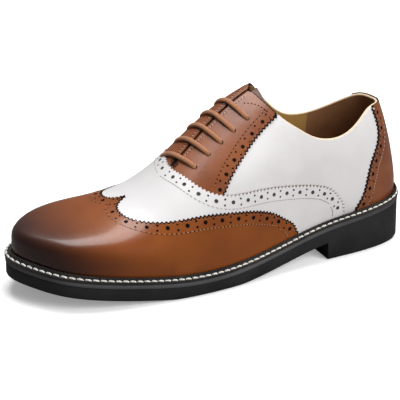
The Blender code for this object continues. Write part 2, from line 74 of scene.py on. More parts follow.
def spline(xs, ys, closed=False):
    xs = np.asarray(xs, float)
    ys = np.asarray(ys, float)
    h = np.diff(xs)
    count = len(xs)
    if closed:
        m = count - 1
        left = np.zeros((m, m))
        right = np.zeros((m,) + ys.shape[1:])
        for i in range(m):
            before = h[(i - 1) % m]
            left[i, (i - 1) % m] += before
            left[i, i] += 2 * (before + h[i])
            left[i, (i + 1) % m] += h[i]
            right[i] = 6 * ((ys[i + 1] - ys[i]) / h[i] - (ys[i] - ys[(i - 1) % m]) / before)
        bend = np.linalg.solve(left, right)
        bend = np.concatenate([bend, bend[:1]])
    else:
        left = np.eye(count)
        right = np.zeros(ys.shape)
        for i in range(1, count - 1):
            left[i, i - 1] = h[i - 1]
            left[i, i] = 2 * (h[i - 1] + h[i])
            left[i, i + 1] = h[i]
            right[i] = 6 * ((ys[i + 1] - ys[i]) / h[i] - (ys[i] - ys[i - 1]) / h[i - 1])
        bend = np.linalg.solve(left, right)

    def value(x):
        x = np.asarray(x, float)
        i = np.clip(np.searchsorted(xs, x, side="right") - 1, 0, count - 2)
        after = x - xs[i]
        before = xs[i + 1] - x
        step = h[i]
        if ys.ndim > 1:
            after, before, step = after[..., None], before[..., None], step[..., None]
        curve = (bend[i] * before**3 + bend[i + 1] * after**3) / (6 * step)
        line = (ys[i] / step - bend[i] * step / 6) * before
        return curve + line + (ys[i + 1] / step - bend[i + 1] * step / 6) * after

    return value


def table_spline(table):
    rows = np.array(table, float)
    values = rows[:, 1] if rows.shape[1] == 2 else rows[:, 1:]
    return spline(rows[:, 0], values)


def loop_normals(loop):
    tangent = np.roll(loop, -1, 0) - np.roll(loop, 1, 0)
    normal = np.stack([-tangent[:, 1], tangent[:, 0]], 1)
    normal /= np.linalg.norm(normal, axis=1)[:, None]
    return normal if ((loop - loop.mean(0)) * normal).sum() > 0 else -normal


def welt_edge_loop(samples=1200):
    points = [(0, 0)] + [(s, -lateral) for s, lateral, medial in WELT_PLAN] + [(LENGTH, TOE_SWING)]
    points += [(s, medial) for s, lateral, medial in reversed(WELT_PLAN)] + [(0, 0)]
    points = np.array(points, float)
    along = np.concatenate([[0], np.cumsum(np.linalg.norm(np.diff(points, axis=0), axis=1))])
    return spline(along, points, True)(np.linspace(0, along[-1], samples, endpoint=False))


welt_edge = welt_edge_loop()
welt_top = table_spline(WELT_TOP)
welt_inset = table_spline(WELT_INSET)
section = table_spline(SECTIONS)
feather = welt_edge - loop_normals(welt_edge) * welt_inset(welt_edge[:, 0])[:, None]
CENTRE_STATION, CENTRE_SIDE = (welt_edge.min(0) + welt_edge.max(0)) / 2
middle = (feather[:, 0].min() + feather[:, 0].max()) / 2
reach_along = (feather[:, 0].max() - feather[:, 0].min()) / 2


def feather_half(lateral):
    back, tip = int(np.argmin(feather[:, 0])), int(np.argmax(feather[:, 0]))
    count = len(feather)
    one = feather[np.arange(back, back + (tip - back) % count + 1) % count]
    other = feather[np.arange(tip, tip + (back - tip) % count + 1) % count][::-1]
    return one if (one[:, 1].mean() < 0) == lateral else other


lateral_half, medial_half = feather_half(True), feather_half(False)


def turn_at(station):
    return np.arccos(np.clip((middle - np.asarray(station, float)) / reach_along, -1, 1))


def station_at(turn):
    return middle - reach_along * np.cos(turn)


def feather_at(turn):
    station = station_at(turn)
    lateral = np.interp(station, lateral_half[:, 0], lateral_half[:, 1])
    medial = np.interp(station, medial_half[:, 0], medial_half[:, 1])
    return np.stack([station, np.where(np.sin(turn) >= 0, lateral, medial)], -1)


def spine_at(station):
    low = POLE_SOFTNESS * np.logaddexp(0, (station - HEEL_POLE) / POLE_SOFTNESS)
    high = POLE_SOFTNESS * np.logaddexp(0, (station - TOE_POLE) / POLE_SOFTNESS)
    return HEEL_POLE + low - high


def bezier(p0, p1, p2, p3, w):
    return p0 * (1 - w)**3 + 3 * p1 * w * (1 - w)**2 + 3 * p2 * w * w * (1 - w) + p3 * w**3


def skin(turn, up):
    turn, up = np.broadcast_arrays(np.asarray(turn, float), np.asarray(up, float))
    foot = feather_at(turn)
    station = foot[..., 0]
    spine = spine_at(station)
    own = section(station)
    ridge = section(spine)
    swell = np.where(np.sin(turn) >= 0, own[..., 0], own[..., 1])
    swell_height, side_full, top_full = own[..., 2], own[..., 3], own[..., 4]
    ridge_z, ridge_y, tilt = ridge[..., 5], ridge[..., 6], ridge[..., 7]
    slope = section(spine + 0.5)[..., 5] - section(spine - 0.5)[..., 5]
    centre = np.stack([spine, ridge_y], -1)
    reach = np.linalg.norm(foot - centre, axis=-1)
    ray = (foot - centre) / reach[..., None]
    base = welt_top(station) + CLEARANCE
    bulge_z = base + swell_height
    bulge_r = reach + swell
    low = np.clip(up / SWELL_SHARE, 0, 1)
    high = np.clip((up - SWELL_SHARE) / (1 - SWELL_SHARE), 0, 1)
    low_r = bezier(reach, reach + 0.6 * swell, bulge_r, bulge_r, low)
    low_z = bezier(base, base + 0.33 * swell_height, bulge_z - 0.4 * swell_height, bulge_z, low)
    lift = (slope * ray[..., 0] + tilt * ray[..., 1]) * top_full * bulge_r
    high_r = bezier(bulge_r, bulge_r, top_full * bulge_r, 0.0, high)
    high_z = bezier(bulge_z, bulge_z + side_full * (ridge_z - bulge_z), ridge_z + lift, ridge_z, high)
    r = np.where(up < SWELL_SHARE, low_r, high_r)
    z = np.where(up < SWELL_SHARE, low_z, high_z) + np.minimum(up, 0) * SKIRT_PER_SHARE
    flat = centre + ray * r[..., None]
    return np.stack([CENTRE_STATION - flat[..., 0], flat[..., 1] - CENTRE_SIDE, z], -1)


def skin_normal(turn, up):
    turn, up = np.broadcast_arrays(np.asarray(turn, float), np.asarray(up, float))
    up = np.clip(up, 0.012, 0.985)
    round_step = skin(turn + 0.02, up) - skin(turn - 0.02, up)
    up_step = skin(turn, up + 0.01) - skin(turn, up - 0.01)
    normal = np.cross(up_step, round_step)
    return normal / np.linalg.norm(normal, axis=-1)[..., None]


def on_last(turn, up, out):
    return skin(turn, up) + skin_normal(turn, up) * np.asarray(out)[..., None]


# Quarters: the white calf body of the shoe, skived thin and closed over a leather lining.
# The lining is brown at the back and yellow tan ahead of a seam behind the heel's breast.
# The collar is bound with a cream rolled edge.
TOPLINE = [
    (0, 0.700, 0.695), (15, 0.694, 0.688), (30, 0.664, 0.642), (45, 0.580, 0.576), (58, 0.520, 0.525),
    (70, 0.503, 0.503), (84, 0.540, 0.530), (95, 0.622, 0.612), (104, 0.728, 0.722),
    (110, 0.850, 0.845), (116, 1.010, 1.010), (130, 1.500, 1.500),
]
THROAT = 182.0
SLIT_UP = 0.9915
LINING_SEAM = 60.5
topline = table_spline(TOPLINE)


def top_share(turn):
    station = station_at(turn)
    both = topline(np.minimum(station, 130))
    edge = np.minimum(np.where(np.sin(turn) >= 0, both[..., 0], both[..., 1]), SLIT_UP)
    return np.where(station >= THROAT - 0.01, 1.0, np.where(station > 116, SLIT_UP, edge))


def side_turn(station, medial):
    """The turn of a station on one side of the shoe"""
    return 2 * np.pi - turn_at(station) if medial else turn_at(station)


def even_turns(step, keys=()):
    """Turns a steady distance apart round the welt, with some set on key stations"""
    fine = np.linspace(0, 2 * np.pi, 4001)
    walk = np.linalg.norm(np.diff(feather_at(fine), axis=0), axis=1)
    along = np.concatenate([[0], np.cumsum(walk)])
    half = np.interp(np.arange(0, np.interp(np.pi, fine, along), step), along, fine)[1:]
    stations = station_at(half)
    for key in keys:
        stations[np.argmin(abs(stations - key))] = key
    half = turn_at(np.sort(stations))
    return np.concatenate([[0], half, [np.pi], 2 * np.pi - half[::-1]])


def make_mesh(name, points, faces, finishes, slots=None, weld=0.0, crease=50):
    """One piece from points in millimetres, smooth but for its cut edges"""
    mesh = bpy.data.meshes.new(name)
    mesh.from_pydata([Vector(p) * MM for p in points], [], faces)
    if slots is not None:
        mesh.polygons.foreach_set("material_index", slots)
    body = bmesh.new()
    body.from_mesh(mesh)
    if weld:
        bmesh.ops.remove_doubles(body, verts=body.verts, dist=weld * MM)
    bmesh.ops.recalc_face_normals(body, faces=body.faces)
    body.to_mesh(mesh)
    body.free()
    mesh.shade_smooth()
    mesh.set_sharp_from_angle(angle=math.radians(crease))
    made = bpy.data.objects.new(name, mesh)
    bpy.context.scene.collection.objects.link(made)
    for finish in finishes if isinstance(finishes, (list, tuple)) else [finishes]:
        mesh.materials.append(finish)
    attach(made, "root")
    return made


def add_node(tree, kind, **values):
    """A shader node with its sockets set, or joined to another node's socket"""
    made = tree.nodes.new(kind)
    for key, value in values.items():
        wanted = key.replace("_", " ")
        socket = next(s for s in made.inputs if s.name == wanted and s.enabled)
        if isinstance(value, bpy.types.NodeSocket):
            tree.links.new(value, socket)
        else:
            socket.default_value = value
    return made


def effect_group(name, inputs, outputs):
    """An empty node group with named inputs and outputs"""
    tree = bpy.data.node_groups.new(name, "ShaderNodeTree")
    for label, kind, value in inputs:
        socket = tree.interface.new_socket(label, in_out="INPUT", socket_type="NodeSocket" + kind)
        socket.default_value = value
    for label, kind in outputs:
        tree.interface.new_socket(label, in_out="OUTPUT", socket_type="NodeSocket" + kind)
    start = tree.nodes.new("NodeGroupInput")
    end = tree.nodes.new("NodeGroupOutput")
    return tree, start.outputs, end.inputs


def use_group(tree, group, **values):
    made = tree.nodes.new("ShaderNodeGroup")
    made.node_tree = group
    for key, value in values.items():
        socket = made.inputs[key.replace("_", " ")]
        if isinstance(value, bpy.types.NodeSocket):
            tree.links.new(value, socket)
        else:
            socket.default_value = value
    return made


def math_node(tree, operation, a, b):
    made = tree.nodes.new("ShaderNodeMath")
    made.operation = operation
    for socket, value in zip(made.inputs, (a, b)):
        if isinstance(value, bpy.types.NodeSocket):
            tree.links.new(value, socket)
        else:
            socket.default_value = value
    return made.outputs[0]


def colour_mix(tree, share, a, b):
    made = tree.nodes.new("ShaderNodeMix")
    made.data_type = "RGBA"
    for socket, value in ((made.inputs[0], share), (made.inputs[6], a), (made.inputs[7], b)):
        if isinstance(value, bpy.types.NodeSocket):
            tree.links.new(value, socket)
        elif socket.type == "RGBA":
            socket.default_value = (*value[:3], 1)
        else:
            socket.default_value = value
    return made.outputs[2]


def ramp(tree, share, low, high, to_low=0.0, to_high=1.0):
    """Smooth step between two values"""
    made = tree.nodes.new("ShaderNodeMapRange")
    made.interpolation_type = "SMOOTHSTEP"
    tree.links.new(share, made.inputs[0])
    for k, value in enumerate((low, high, to_low, to_high), 1):
        made.inputs[k].default_value = value
    return made.outputs[0]


def new_finish(name, roughness, coat=0.0, coat_roughness=0.2, sheen=0.0, specular=0.35):
    made = bpy.data.materials.new(name)
    made.use_nodes = True
    tree = made.node_tree
    shader = tree.nodes["Principled BSDF"]
    shader.inputs["Roughness"].default_value = roughness
    shader.inputs["Coat Weight"].default_value = coat
    shader.inputs["Coat Roughness"].default_value = coat_roughness
    shader.inputs["Sheen Weight"].default_value = sheen
    shader.inputs["Specular IOR Level"].default_value = specular
    return made, tree, shader


def grain_group():
    """Calf grain: fine pores and soft pebbles, as a height and a patchy tone"""
    tree, given, result = effect_group(
        "calf_grain", [("Pore size", "Float", 1.0)],
        [("Height", "Float"), ("Tone", "Float"), ("Patch", "Float")])
    spot = add_node(tree, "ShaderNodeTexCoord").outputs["Object"]
    scale = math_node(tree, "DIVIDE", 1400.0, given["Pore size"])
    pores = add_node(tree, "ShaderNodeTexVoronoi", Vector=spot, Scale=scale).outputs["Distance"]
    scale = math_node(tree, "DIVIDE", 420.0, given["Pore size"])
    pebble = add_node(tree, "ShaderNodeTexNoise", Vector=spot, Scale=scale, Detail=3.0).outputs[0]
    patch = add_node(tree, "ShaderNodeTexNoise", Vector=spot, Scale=38.0, Detail=4.0).outputs[0]
    height = math_node(tree, "ADD", math_node(tree, "MULTIPLY", pores, 0.5), pebble)
    tree.links.new(height, result["Height"])
    tree.links.new(pebble, result["Tone"])
    tree.links.new(patch, result["Patch"])
    return tree


grain = grain_group()


def dress(tree, shader, calf, colour, bump, depth, roughness=None):
    """Joins a colour, a fine bump and, between two values, an uneven roughness to a shader"""
    tree.links.new(colour, shader.inputs["Base Color"])
    if roughness:
        rough = ramp(tree, calf.outputs["Tone"], 0.2, 0.8, *roughness)
        tree.links.new(rough, shader.inputs["Roughness"])
    height = calf.outputs["Height"]
    lift = add_node(tree, "ShaderNodeBump", Strength=bump, Distance=depth, Height=height)
    tree.links.new(lift.outputs[0], shader.inputs["Normal"])


def leather(name, colour, deep, roughness, coat, pore=1.0, bump=0.06, specular=0.35):
    """Finished calf: two tones in soft patches, fine grain and a polished coat"""
    made, tree, shader = new_finish(name, roughness, coat, 0.18, specular=specular)
    calf = use_group(tree, grain, Pore_size=pore)
    tone = ramp(tree, calf.outputs["Patch"], 0.32, 0.68)
    mixed = colour_mix(tree, tone, deep, colour)
    dress(tree, shader, calf, mixed, bump, 0.0006, (roughness - 0.05, roughness + 0.07))
    return made


white_calf = leather("white_calf", (0.73, 0.71, 0.715), (0.68, 0.66, 0.665), 0.42, 0.15)
lining_brown = leather("lining_brown", (0.26, 0.125, 0.058), (0.18, 0.082, 0.04), 0.62, 0.0, 1.3)
lining_tan = leather("lining_tan", (0.40, 0.23, 0.07), (0.32, 0.18, 0.055), 0.6, 0.0, 1.3)
rim_cream = leather("rim_cream", (0.76, 0.62, 0.44), (0.68, 0.52, 0.34), 0.6, 0.0, 0.8)

body_turns = even_turns(2.6, (112.0, 117.0, THROAT))
body_rows = np.linspace(0, 1, 42)


def body_net(out):
    """Points of a full layer of leather over the last"""
    tops = top_share(body_turns)
    shares = body_rows[:, None] * tops[None, :]
    return on_last(np.broadcast_to(body_turns, shares.shape), shares, np.full(shares.shape, out))


def net_faces(rows, columns):
    faces = []
    for j in range(rows - 1):
        for k in range(columns):
            n = (k + 1) % columns
            faces.append((j * columns + k, j * columns + n, (j + 1) * columns + n, (j + 1) * columns + k))
    return faces


def layered_body(name, outer, inner, finishes, finish_of):
    """A closed layer of leather between two nets, welded where the two sides meet on the ridge"""
    rows, columns = outer.shape[:2]
    points = np.concatenate([outer.reshape(-1, 3), inner.reshape(-1, 3)])
    count = rows * columns
    faces = net_faces(rows, columns)
    back = [(d + count, c + count, b + count, a + count) for a, b, c, d in faces]
    tops = top_share(body_turns)
    rim = []
    for row in (0, rows - 1):
        for k in range(columns):
            n = (k + 1) % columns
            a, b = row * columns + k, row * columns + n
            if not (row and tops[k] == 1.0 and tops[n] == 1.0):
                rim.append((a, b, b + count, a + count))
    every = faces + back + rim
    slots = [finish_of(CENTRE_STATION - points[face[0]][0], (face[0] % count) // columns / (rows - 1))
             for face in every]
    return make_mesh(name, points, every, finishes, slots, weld=0.02)


slit_brown = leather("slit_brown", (0.19, 0.062, 0.026), (0.14, 0.045, 0.018), 0.6, 0.0, specular=0.15)
quarters = layered_body(
    "quarters", body_net(0.0), body_net(-0.95), [white_calf, slit_brown],
    lambda station, share: int(station > 105.5 and share > 0.93))
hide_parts("upper")
lining = layered_body(
    "lining", body_net(-1.0), body_net(-2.0), [lining_brown, lining_tan],
    lambda station, share: int(station > LINING_SEAM))


def tube_round(path, radius, sides, flatten, face_out):
    """Points and faces of a cord along a path, thinner across the leather than along it"""
    path = np.asarray(path, float)
    count = len(path)
    along = np.gradient(path, axis=0)
    along /= np.linalg.norm(along, axis=1)[:, None]
    side = np.cross(along, face_out)
    side /= np.linalg.norm(side, axis=1)[:, None]
    over = np.cross(side, along)
    angle = np.linspace(0, 2 * np.pi, sides, endpoint=False)
    radius = np.broadcast_to(radius, count)[:, None, None]
    wide, thin = np.cos(angle)[None, :, None], flatten * np.sin(angle)[None, :, None]
    points = (path[:, None] + radius * (wide * side[:, None] + thin * over[:, None])).reshape(-1, 3)
    faces = []
    for j in range(count - 1):
        for k in range(sides):
            n, m = (k + 1) % sides, j + 1
            faces.append((j * sides + k, m * sides + k, m * sides + n, j * sides + n))
    faces.append(tuple(range(sides)))
    faces.append(tuple((count - 1) * sides + k for k in reversed(range(sides))))
    return points, faces


def collar_run(first, last, count=90):
    """Turns along the collar between two stations, over the heel where they change side"""
    if first * last < 0:
        half_one = turn_at(np.linspace(-first, 0.2, count))
        half_two = turn_at(np.linspace(0.2, last, count))
        return np.concatenate([-half_one, [0], half_two])
    turns = turn_at(np.linspace(abs(first), abs(last), count))
    return -turns if first < 0 else turns


def edge_cord(name, first, last, out, radius, finish, drop=0.0):
    """A rolled edge that follows the top of the leather"""
    turns = collar_run(first, last)
    tops = top_share(turns) - drop
    path = on_last(turns, tops, np.full(len(turns), out))
    made = make_mesh(name, *tube_round(path, radius, 12, 0.85, skin_normal(turns, 0.9 * tops)), finish)
    return made


# The lining's cream edge is rolled over the collar; at the facings the edge is inked dark.
edge_cord("collar_rim", -106.0, 106.0, -1.2, 0.9, rim_cream)
edge_ink = leather("edge_ink", (0.03, 0.016, 0.012), (0.02, 0.01, 0.008), 0.75, 0.0, specular=0.1)
edge_cord("facing_rim_lateral", 104.8, 116.6, -0.75, 0.8, edge_ink, 0.004)
edge_cord("facing_rim_medial", -104.8, -116.6, -0.75, 0.8, edge_ink, 0.004)

# Patterns: each overlay is clicked from a flat skin with its own cutting line, its holes
# punched and its edge pinked before it is laid over the last. Lines are given as
# (share of the way up, station) for one side of the shoe.
WING_LINE = [
    (0.0, 94.5), (0.055, 97.3), (0.10, 98.7), (0.195, 105.9), (0.26, 117.6), (0.323, 134.1),
    (0.422, 156.8), (0.514, 176.0), (0.568, 191.5), (0.64, 209.0), (0.715, 218.0),
    (0.82, 223.5), (0.925, 222.8), (0.972, 217.5), (1.0, 210.5),
]
BAND_LINE = [
    (0.0, 57.6), (0.055, 58), (0.19, 60.4), (0.255, 66.5), (0.295, 78), (0.325, 93),
    (0.40, 125), (0.462, 143), (0.528, 155.2), (0.573, 161.0), (0.654, 168.4), (0.755, 174.3),
    (0.873, 179.0), (0.98, 182.3), (1.0, 182.6),
]
FACING_LINE = [
    (0.50, 158.5), (0.535, 155.3), (0.60, 147.7), (0.645, 138.6),
    (0.685, 128), (0.713, 116), (0.733, 104.4), (0.745, 98.5),
]
COUNTER_LINE = [
    (0.0, 49.5), (0.058, 47.8), (0.173, 43.4), (0.297, 39.3), (0.413, 34), (0.505, 26.3),
    (0.565, 23.2), (0.66, 25), (0.70, 26.8),
]


GIRTH_STEPS = 25


def girth_chart(turn, up):
    """Place of each point on the flattened skin: its spine point plus its girth from the ridge"""
    turn, up = np.asarray(turn, float), np.asarray(up, float)
    foot = feather_at(turn)
    ridge = section(spine_at(foot[:, 0]))
    centre = np.stack([spine_at(foot[:, 0]), ridge[:, 6]], -1)
    ray = foot - centre
    ray /= np.linalg.norm(ray, axis=1)[:, None]
    share = up[:, None] + (1 - up[:, None]) * np.linspace(0, 1, GIRTH_STEPS)[None, :]
    walk = skin(np.repeat(turn[:, None], GIRTH_STEPS, 1), share)
    girth = np.linalg.norm(np.diff(walk, axis=1), axis=2).sum(1)
    return centre + ray * girth[:, None]


def slopes(turn, up):
    """How the skin moves with turn and with share"""
    step = 0.003
    low, high = np.clip(up - step, 0, 1 - step), np.clip(up + step, step, 1)
    du = (skin(turn, high) - skin(turn, low)) / (high - low)[..., None]
    inside = np.minimum(up, 0.997)
    dt = (skin(turn + step, inside) - skin(turn - step, inside)) / (2 * step)
    return dt, du


def shifted(turn, up, move):
    """The point of the skin a short way off, folded over the ridge where it passes it"""
    dt, du = slopes(turn, up)
    a, b, c = (dt * dt).sum(-1), (dt * du).sum(-1), (du * du).sum(-1)
    p, q = (dt * move).sum(-1), (du * move).sum(-1)
    whole = np.maximum(a * c - b * b, 1e-9)
    new_turn, new_up = turn + (c * p - b * q) / whole, up + (a * q - b * p) / whole
    past = new_up > 1
    return np.where(past, 2 * np.pi - new_turn, new_turn), np.where(past, 2 - new_up, new_up)


class Line:
    """A line over the leather, walked in millimetres"""

    def __init__(self, turns, ups, out=1.3):
        self.turns, self.ups = np.asarray(turns, float), np.asarray(ups, float)
        spots = on_last(self.turns, self.ups, np.full(len(self.turns), out))
        self.along = np.concatenate([[0], np.cumsum(np.linalg.norm(np.diff(spots, axis=0), axis=1))])
        self.length = self.along[-1]

    def at(self, distance):
        return np.interp(distance, self.along, self.turns), np.interp(distance, self.along, self.ups)

    def heading(self, distance):
        """Unit vectors along the line and across it, to its left seen from outside"""
        before, after = np.maximum(distance - 0.6, 0), np.minimum(distance + 0.6, self.length)
        a, b = skin(*self.at(before)), skin(*self.at(after))
        ahead = b - a
        ahead /= np.linalg.norm(ahead, axis=1)[:, None]
        left = np.cross(skin_normal(*self.at(distance)), ahead)
        return ahead, left / np.linalg.norm(left, axis=1)[:, None]

    def beside(self, distance, left, ahead=0.0):
        """(turn, up) of points beside the line"""
        distance = np.asarray(distance, float)
        forward, side = self.heading(distance)
        turn, up = self.at(distance)
        return shifted(turn, up, side * np.broadcast_to(left, distance.shape)[:, None]
                       + forward * np.broadcast_to(ahead, distance.shape)[:, None])


def pattern_line(table, high=1.0, medial=False, count=400):
    """One side's line from the welt up to its high end, smoothed"""
    rows = np.array(table, float)
    along = np.concatenate([[0], np.cumsum(np.hypot(np.diff(rows[:, 0]) * 100, np.diff(rows[:, 1])))])
    curve = spline(along, rows)(np.linspace(0, along[-1], count))
    keep = (curve[:, 0] >= -1e-9) & (curve[:, 0] <= high + 1e-9)
    turns, ups = turn_at(curve[keep, 1]), np.clip(curve[keep, 0], 0, 1)
    return (2 * np.pi - turns if medial else turns), ups


def inside_loops(spots, loops):
    """Even-odd test of points against closed loops"""
    starts = np.concatenate(loops)
    ends = np.concatenate([np.roll(loop, -1, 0) for loop in loops])
    result = np.zeros(len(spots), bool)
    for first in range(0, len(spots), 400):
        p = spots[first:first + 400]
        y = p[:, 1][:, None]
        crosses = (starts[:, 1][None] > y) != (ends[:, 1][None] > y)
        run = (ends[:, 1] - starts[:, 1])[None]
        run = np.where(run == 0, 1e-12, run)
        x = starts[:, 0][None] + (y - starts[:, 1][None]) / run * (ends[:, 0] - starts[:, 0])[None]
        result[first:first + 400] = (crosses & (x > p[:, 0][:, None])).sum(1) % 2 == 1
    return result


def clear_of(spots, others, distance):
    """Which points keep a distance from all the others"""
    grid = {}
    for p in others:
        grid.setdefault((int(p[0] // distance), int(p[1] // distance)), []).append(p)
    keep = np.ones(len(spots), bool)
    for i, p in enumerate(spots):
        gx, gy = int(p[0] // distance), int(p[1] // distance)
        for x in (gx - 1, gx, gx + 1):
            for y in (gy - 1, gy, gy + 1):
                for q in grid.get((x, y), ()):
                    if (p[0] - q[0])**2 + (p[1] - q[1])**2 < distance * distance:
                        keep[i] = False
        if keep[i]:
            grid.setdefault((gx, gy), []).append(p)
    return keep


def clicked(name, boundary, holes, out, inner, finishes, step=2.4, edging=()):
    """A piece of leather cut along closed lines of (turns, shares) and laid over the last.
    Between the cut edge and an edging line it takes the second finish, as the cut sides do."""
    loops = [np.stack(loop, 1) for loop in [boundary] + list(holes)]
    charts = [girth_chart(loop[:, 0], loop[:, 1]) for loop in loops]
    low, high = loops[0][:, 0].min(), loops[0][:, 0].max()
    turns = even_turns(step)
    if low < 0:
        turns = np.concatenate([turns[turns > np.pi] - 2 * np.pi, turns[turns <= np.pi]])
    turns = turns[(turns > low) & (turns < high)]
    net = np.array([(t, u) for u in np.linspace(0, 1, int(110 / step)) for t in turns]).reshape(-1, 2)
    chart = girth_chart(net[:, 0], net[:, 1])
    inside = inside_loops(chart, charts)
    net, chart = net[inside], chart[inside]
    folds = [np.stack(fold, 1) for fold in edging]
    fold_charts = [girth_chart(fold[:, 0], fold[:, 1]) for fold in folds]
    keep = clear_of(chart, np.concatenate(charts + fold_charts), 0.62 * step)
    every = np.concatenate(loops + folds + [net[keep]])
    flat = np.concatenate(charts + fold_charts + [chart[keep]])
    kinds = np.concatenate([[0] * len(loops[0])] + [[2] * len(loop) for loop in loops[1:]]
                           + [[1] * len(fold) for fold in folds] + [[3] * int(keep.sum())])
    edges, first = [], 0
    for loop in loops:
        edges += [(first + i, first + (i + 1) % len(loop)) for i in range(len(loop))]
        first += len(loop)
    for fold in folds:
        edges += [(first + i, first + i + 1) for i in range(len(fold) - 1)]
        first += len(fold)
    spots, _, faces, sources, _, _ = delaunay_2d_cdt([Vector(p) for p in flat], edges, [], 0, 1e-5, True)
    flat_spots = np.array(spots)
    own = np.zeros((len(spots), 2))
    kind = np.zeros(len(spots), int)
    for i, source in enumerate(sources):
        near = source[0] if source else int(np.argmin(((flat - flat_spots[i])**2).sum(1)))
        own[i] = every[near]
        kind[i] = kinds[near]
    faces = np.array([f for f in faces if len(f) == 3])
    doubtful = (kind[faces] != 3).all(1)
    keep = np.ones(len(faces), bool)
    keep[doubtful] = inside_loops(flat_spots[faces].mean(1)[doubtful], charts)
    faces = faces[keep]
    outer_kind = kind[faces]
    inked = (outer_kind <= 1).all(1) & (outer_kind == 0).any(1) if folds else np.zeros(len(faces), bool)
    top = on_last(own[:, 0], own[:, 1], np.full(len(own), out))
    under = on_last(own[:, 0], own[:, 1], np.full(len(own), inner))
    count = len(own)
    sides = {(f[i], f[(i + 1) % 3]) for f in faces.tolist() for i in range(3)}
    rim = sorted((a, b) for a, b in sides if (b, a) not in sides)
    solid = [tuple(f) for f in faces.tolist()]
    solid += [(c + count, b + count, a + count) for a, b, c in faces.tolist()]
    solid += [(b, a, a + count, b + count) for a, b in rim]
    slots = inked.astype(int).tolist() * 2 + [len(finishes) - 1] * len(rim)
    return make_mesh(name, np.concatenate([top, under]), solid, finishes, slots)


# Vamp: white calf cut in one with the long band that runs back along each side to the heel.
# Its rear edge is pinked and punched over a grey backing, and its front edge goes under
# the wing cap.
VAMP_OUT = 1.35
UNDER_WING = 7.0
TOOTH_PITCH = 3.0
TOOTH_DEPTH = 1.4
HOLE_INSET = 5.0
PAIR_SPREAD = 2.0


class SideLine(Line):
    """A pattern line on one side, from its low end up. Inward is towards its own piece."""

    def __init__(self, table, medial, inward_is_left=True, **ends):
        super().__init__(*pattern_line(table, medial=medial, **ends))
        self.medial = medial
        self.sign = 1 if inward_is_left != medial else -1

    def inward(self, distance, depth, ahead=0.0):
        return self.beside(distance, np.asarray(depth) * self.sign, ahead)

    def own_side(self, run):
        """The points up to where a run passes over the ridge"""
        turns, ups = run
        keep = ((turns > np.pi) == self.medial) & (ups <= 1)
        if not keep.all():
            keep[np.argmin(keep):] = False
        return turns[keep], ups[keep]

    def teeth(self, shift=0.0, start=0.0, end=None):
        """Saw-tooth run: tips at the line, valleys a tooth's depth inside it"""
        end = self.length if end is None else end
        count = max(int(round((end - start) / TOOTH_PITCH)), 2)
        distance = np.linspace(start, end, 2 * count + 1)
        depth = np.where(np.arange(2 * count + 1) % 2 == 0, TOOTH_DEPTH, 0.0) + shift
        return self.inward(distance, depth)


def joined(*runs):
    turns, ups = np.concatenate([r[0] for r in runs]), np.concatenate([r[1] for r in runs])
    return turns, np.clip(ups, 0, 1)


def reverse(run):
    return run[0][::-1], run[1][::-1]


def over_the_top(lateral, medial, shift=0.0, low=-1.0):
    """Both sides' teeth as one run from the lateral welt over the ridge to the medial welt"""
    halves = []
    for line in (lateral, medial):
        turns, ups = line.own_side(line.teeth(shift))
        keep = ups > low
        halves.append((turns[keep], ups[keep]))
    top = (halves[0][0][-1:], np.ones(1))
    return joined(halves[0], top, reverse(halves[1]))


def round_hole(turn, up, radius, corners=12):
    angle = np.linspace(0, 2 * np.pi, corners, endpoint=False)
    turns, ups = np.full(corners, float(turn)), np.full(corners, float(up))
    ahead = slopes(turns, ups)[0]
    ahead = ahead / np.linalg.norm(ahead, axis=1)[:, None]
    side = np.cross(skin_normal(turns, ups), ahead)
    spokes = np.cos(angle)[:, None] * ahead + np.sin(angle)[:, None] * side
    return shifted(turns, ups, radius * spokes)


def punched(line, start, pitch, count, big, small, inset=HOLE_INSET):
    """Round holes along a line, with a pair of small ones across it after each"""
    holes = []
    for k in range(count):
        spots = [(start + k * pitch, inset, big, 14)]
        for side in (PAIR_SPREAD, -PAIR_SPREAD):
            spots.append((start + (k + 0.5) * pitch, inset + side, small, 8))
        for at, depth, radius, corners in spots:
            if at > line.length - 1:
                continue
            turn, up = line.own_side(line.inward(np.array([at]), depth))
            if len(turn) and (1 - up[0]) * 100 > radius and up[0] * 100 > radius + 0.5:
                holes.append(round_hole(turn[0], up[0], radius, corners))
    return holes


def strip(line, near, far, start, end, to_ridge=False):
    """Closed outline of a strip beside a line"""
    distance = np.linspace(start, end, max(int((end - start) / 1.6), 3))
    one, two = line.inward(distance, near), line.inward(distance, far)
    if to_ridge:
        one, two = line.own_side(one), line.own_side(two)
        one = joined(one, (one[0][-1:], np.ones(1)))
        two = joined(two, (two[0][-1:], np.ones(1)))
    return joined(one, reverse(two))


def welt_run(first, last, step=1.6):
    """Turns along the welt between two turns"""
    count = max(int(abs(last - first) * reach_along / step), 3)
    return np.linspace(first, last, count), np.zeros(count)


def both_sides(table):
    return SideLine(table, False), SideLine(table, True)


def welt_turn(table, medial, more=3.0):
    return float(side_turn(table[0][1] + more, medial))


def plain_finish(name, colour, roughness=0.7):
    """Thread, ink, paper or painted shade: one colour, uneven in tone, with a fine tooth"""
    made, tree, shader = new_finish(name, roughness, specular=0.12)
    calf = use_group(tree, grain, Pore_size=0.6)
    tone = ramp(tree, calf.outputs["Tone"], 0.3, 0.7)
    mixed = colour_mix(tree, tone, tuple(0.72 * c for c in colour), colour)
    dress(tree, shader, calf, mixed, 0.25, 0.0004)
    return made


RING_AT = np.array([0, 0.12, 0.5, 0.88, 1.0])
RING_SIZE = np.array([0.35, 0.85, 1.0, 0.85, 0.35])


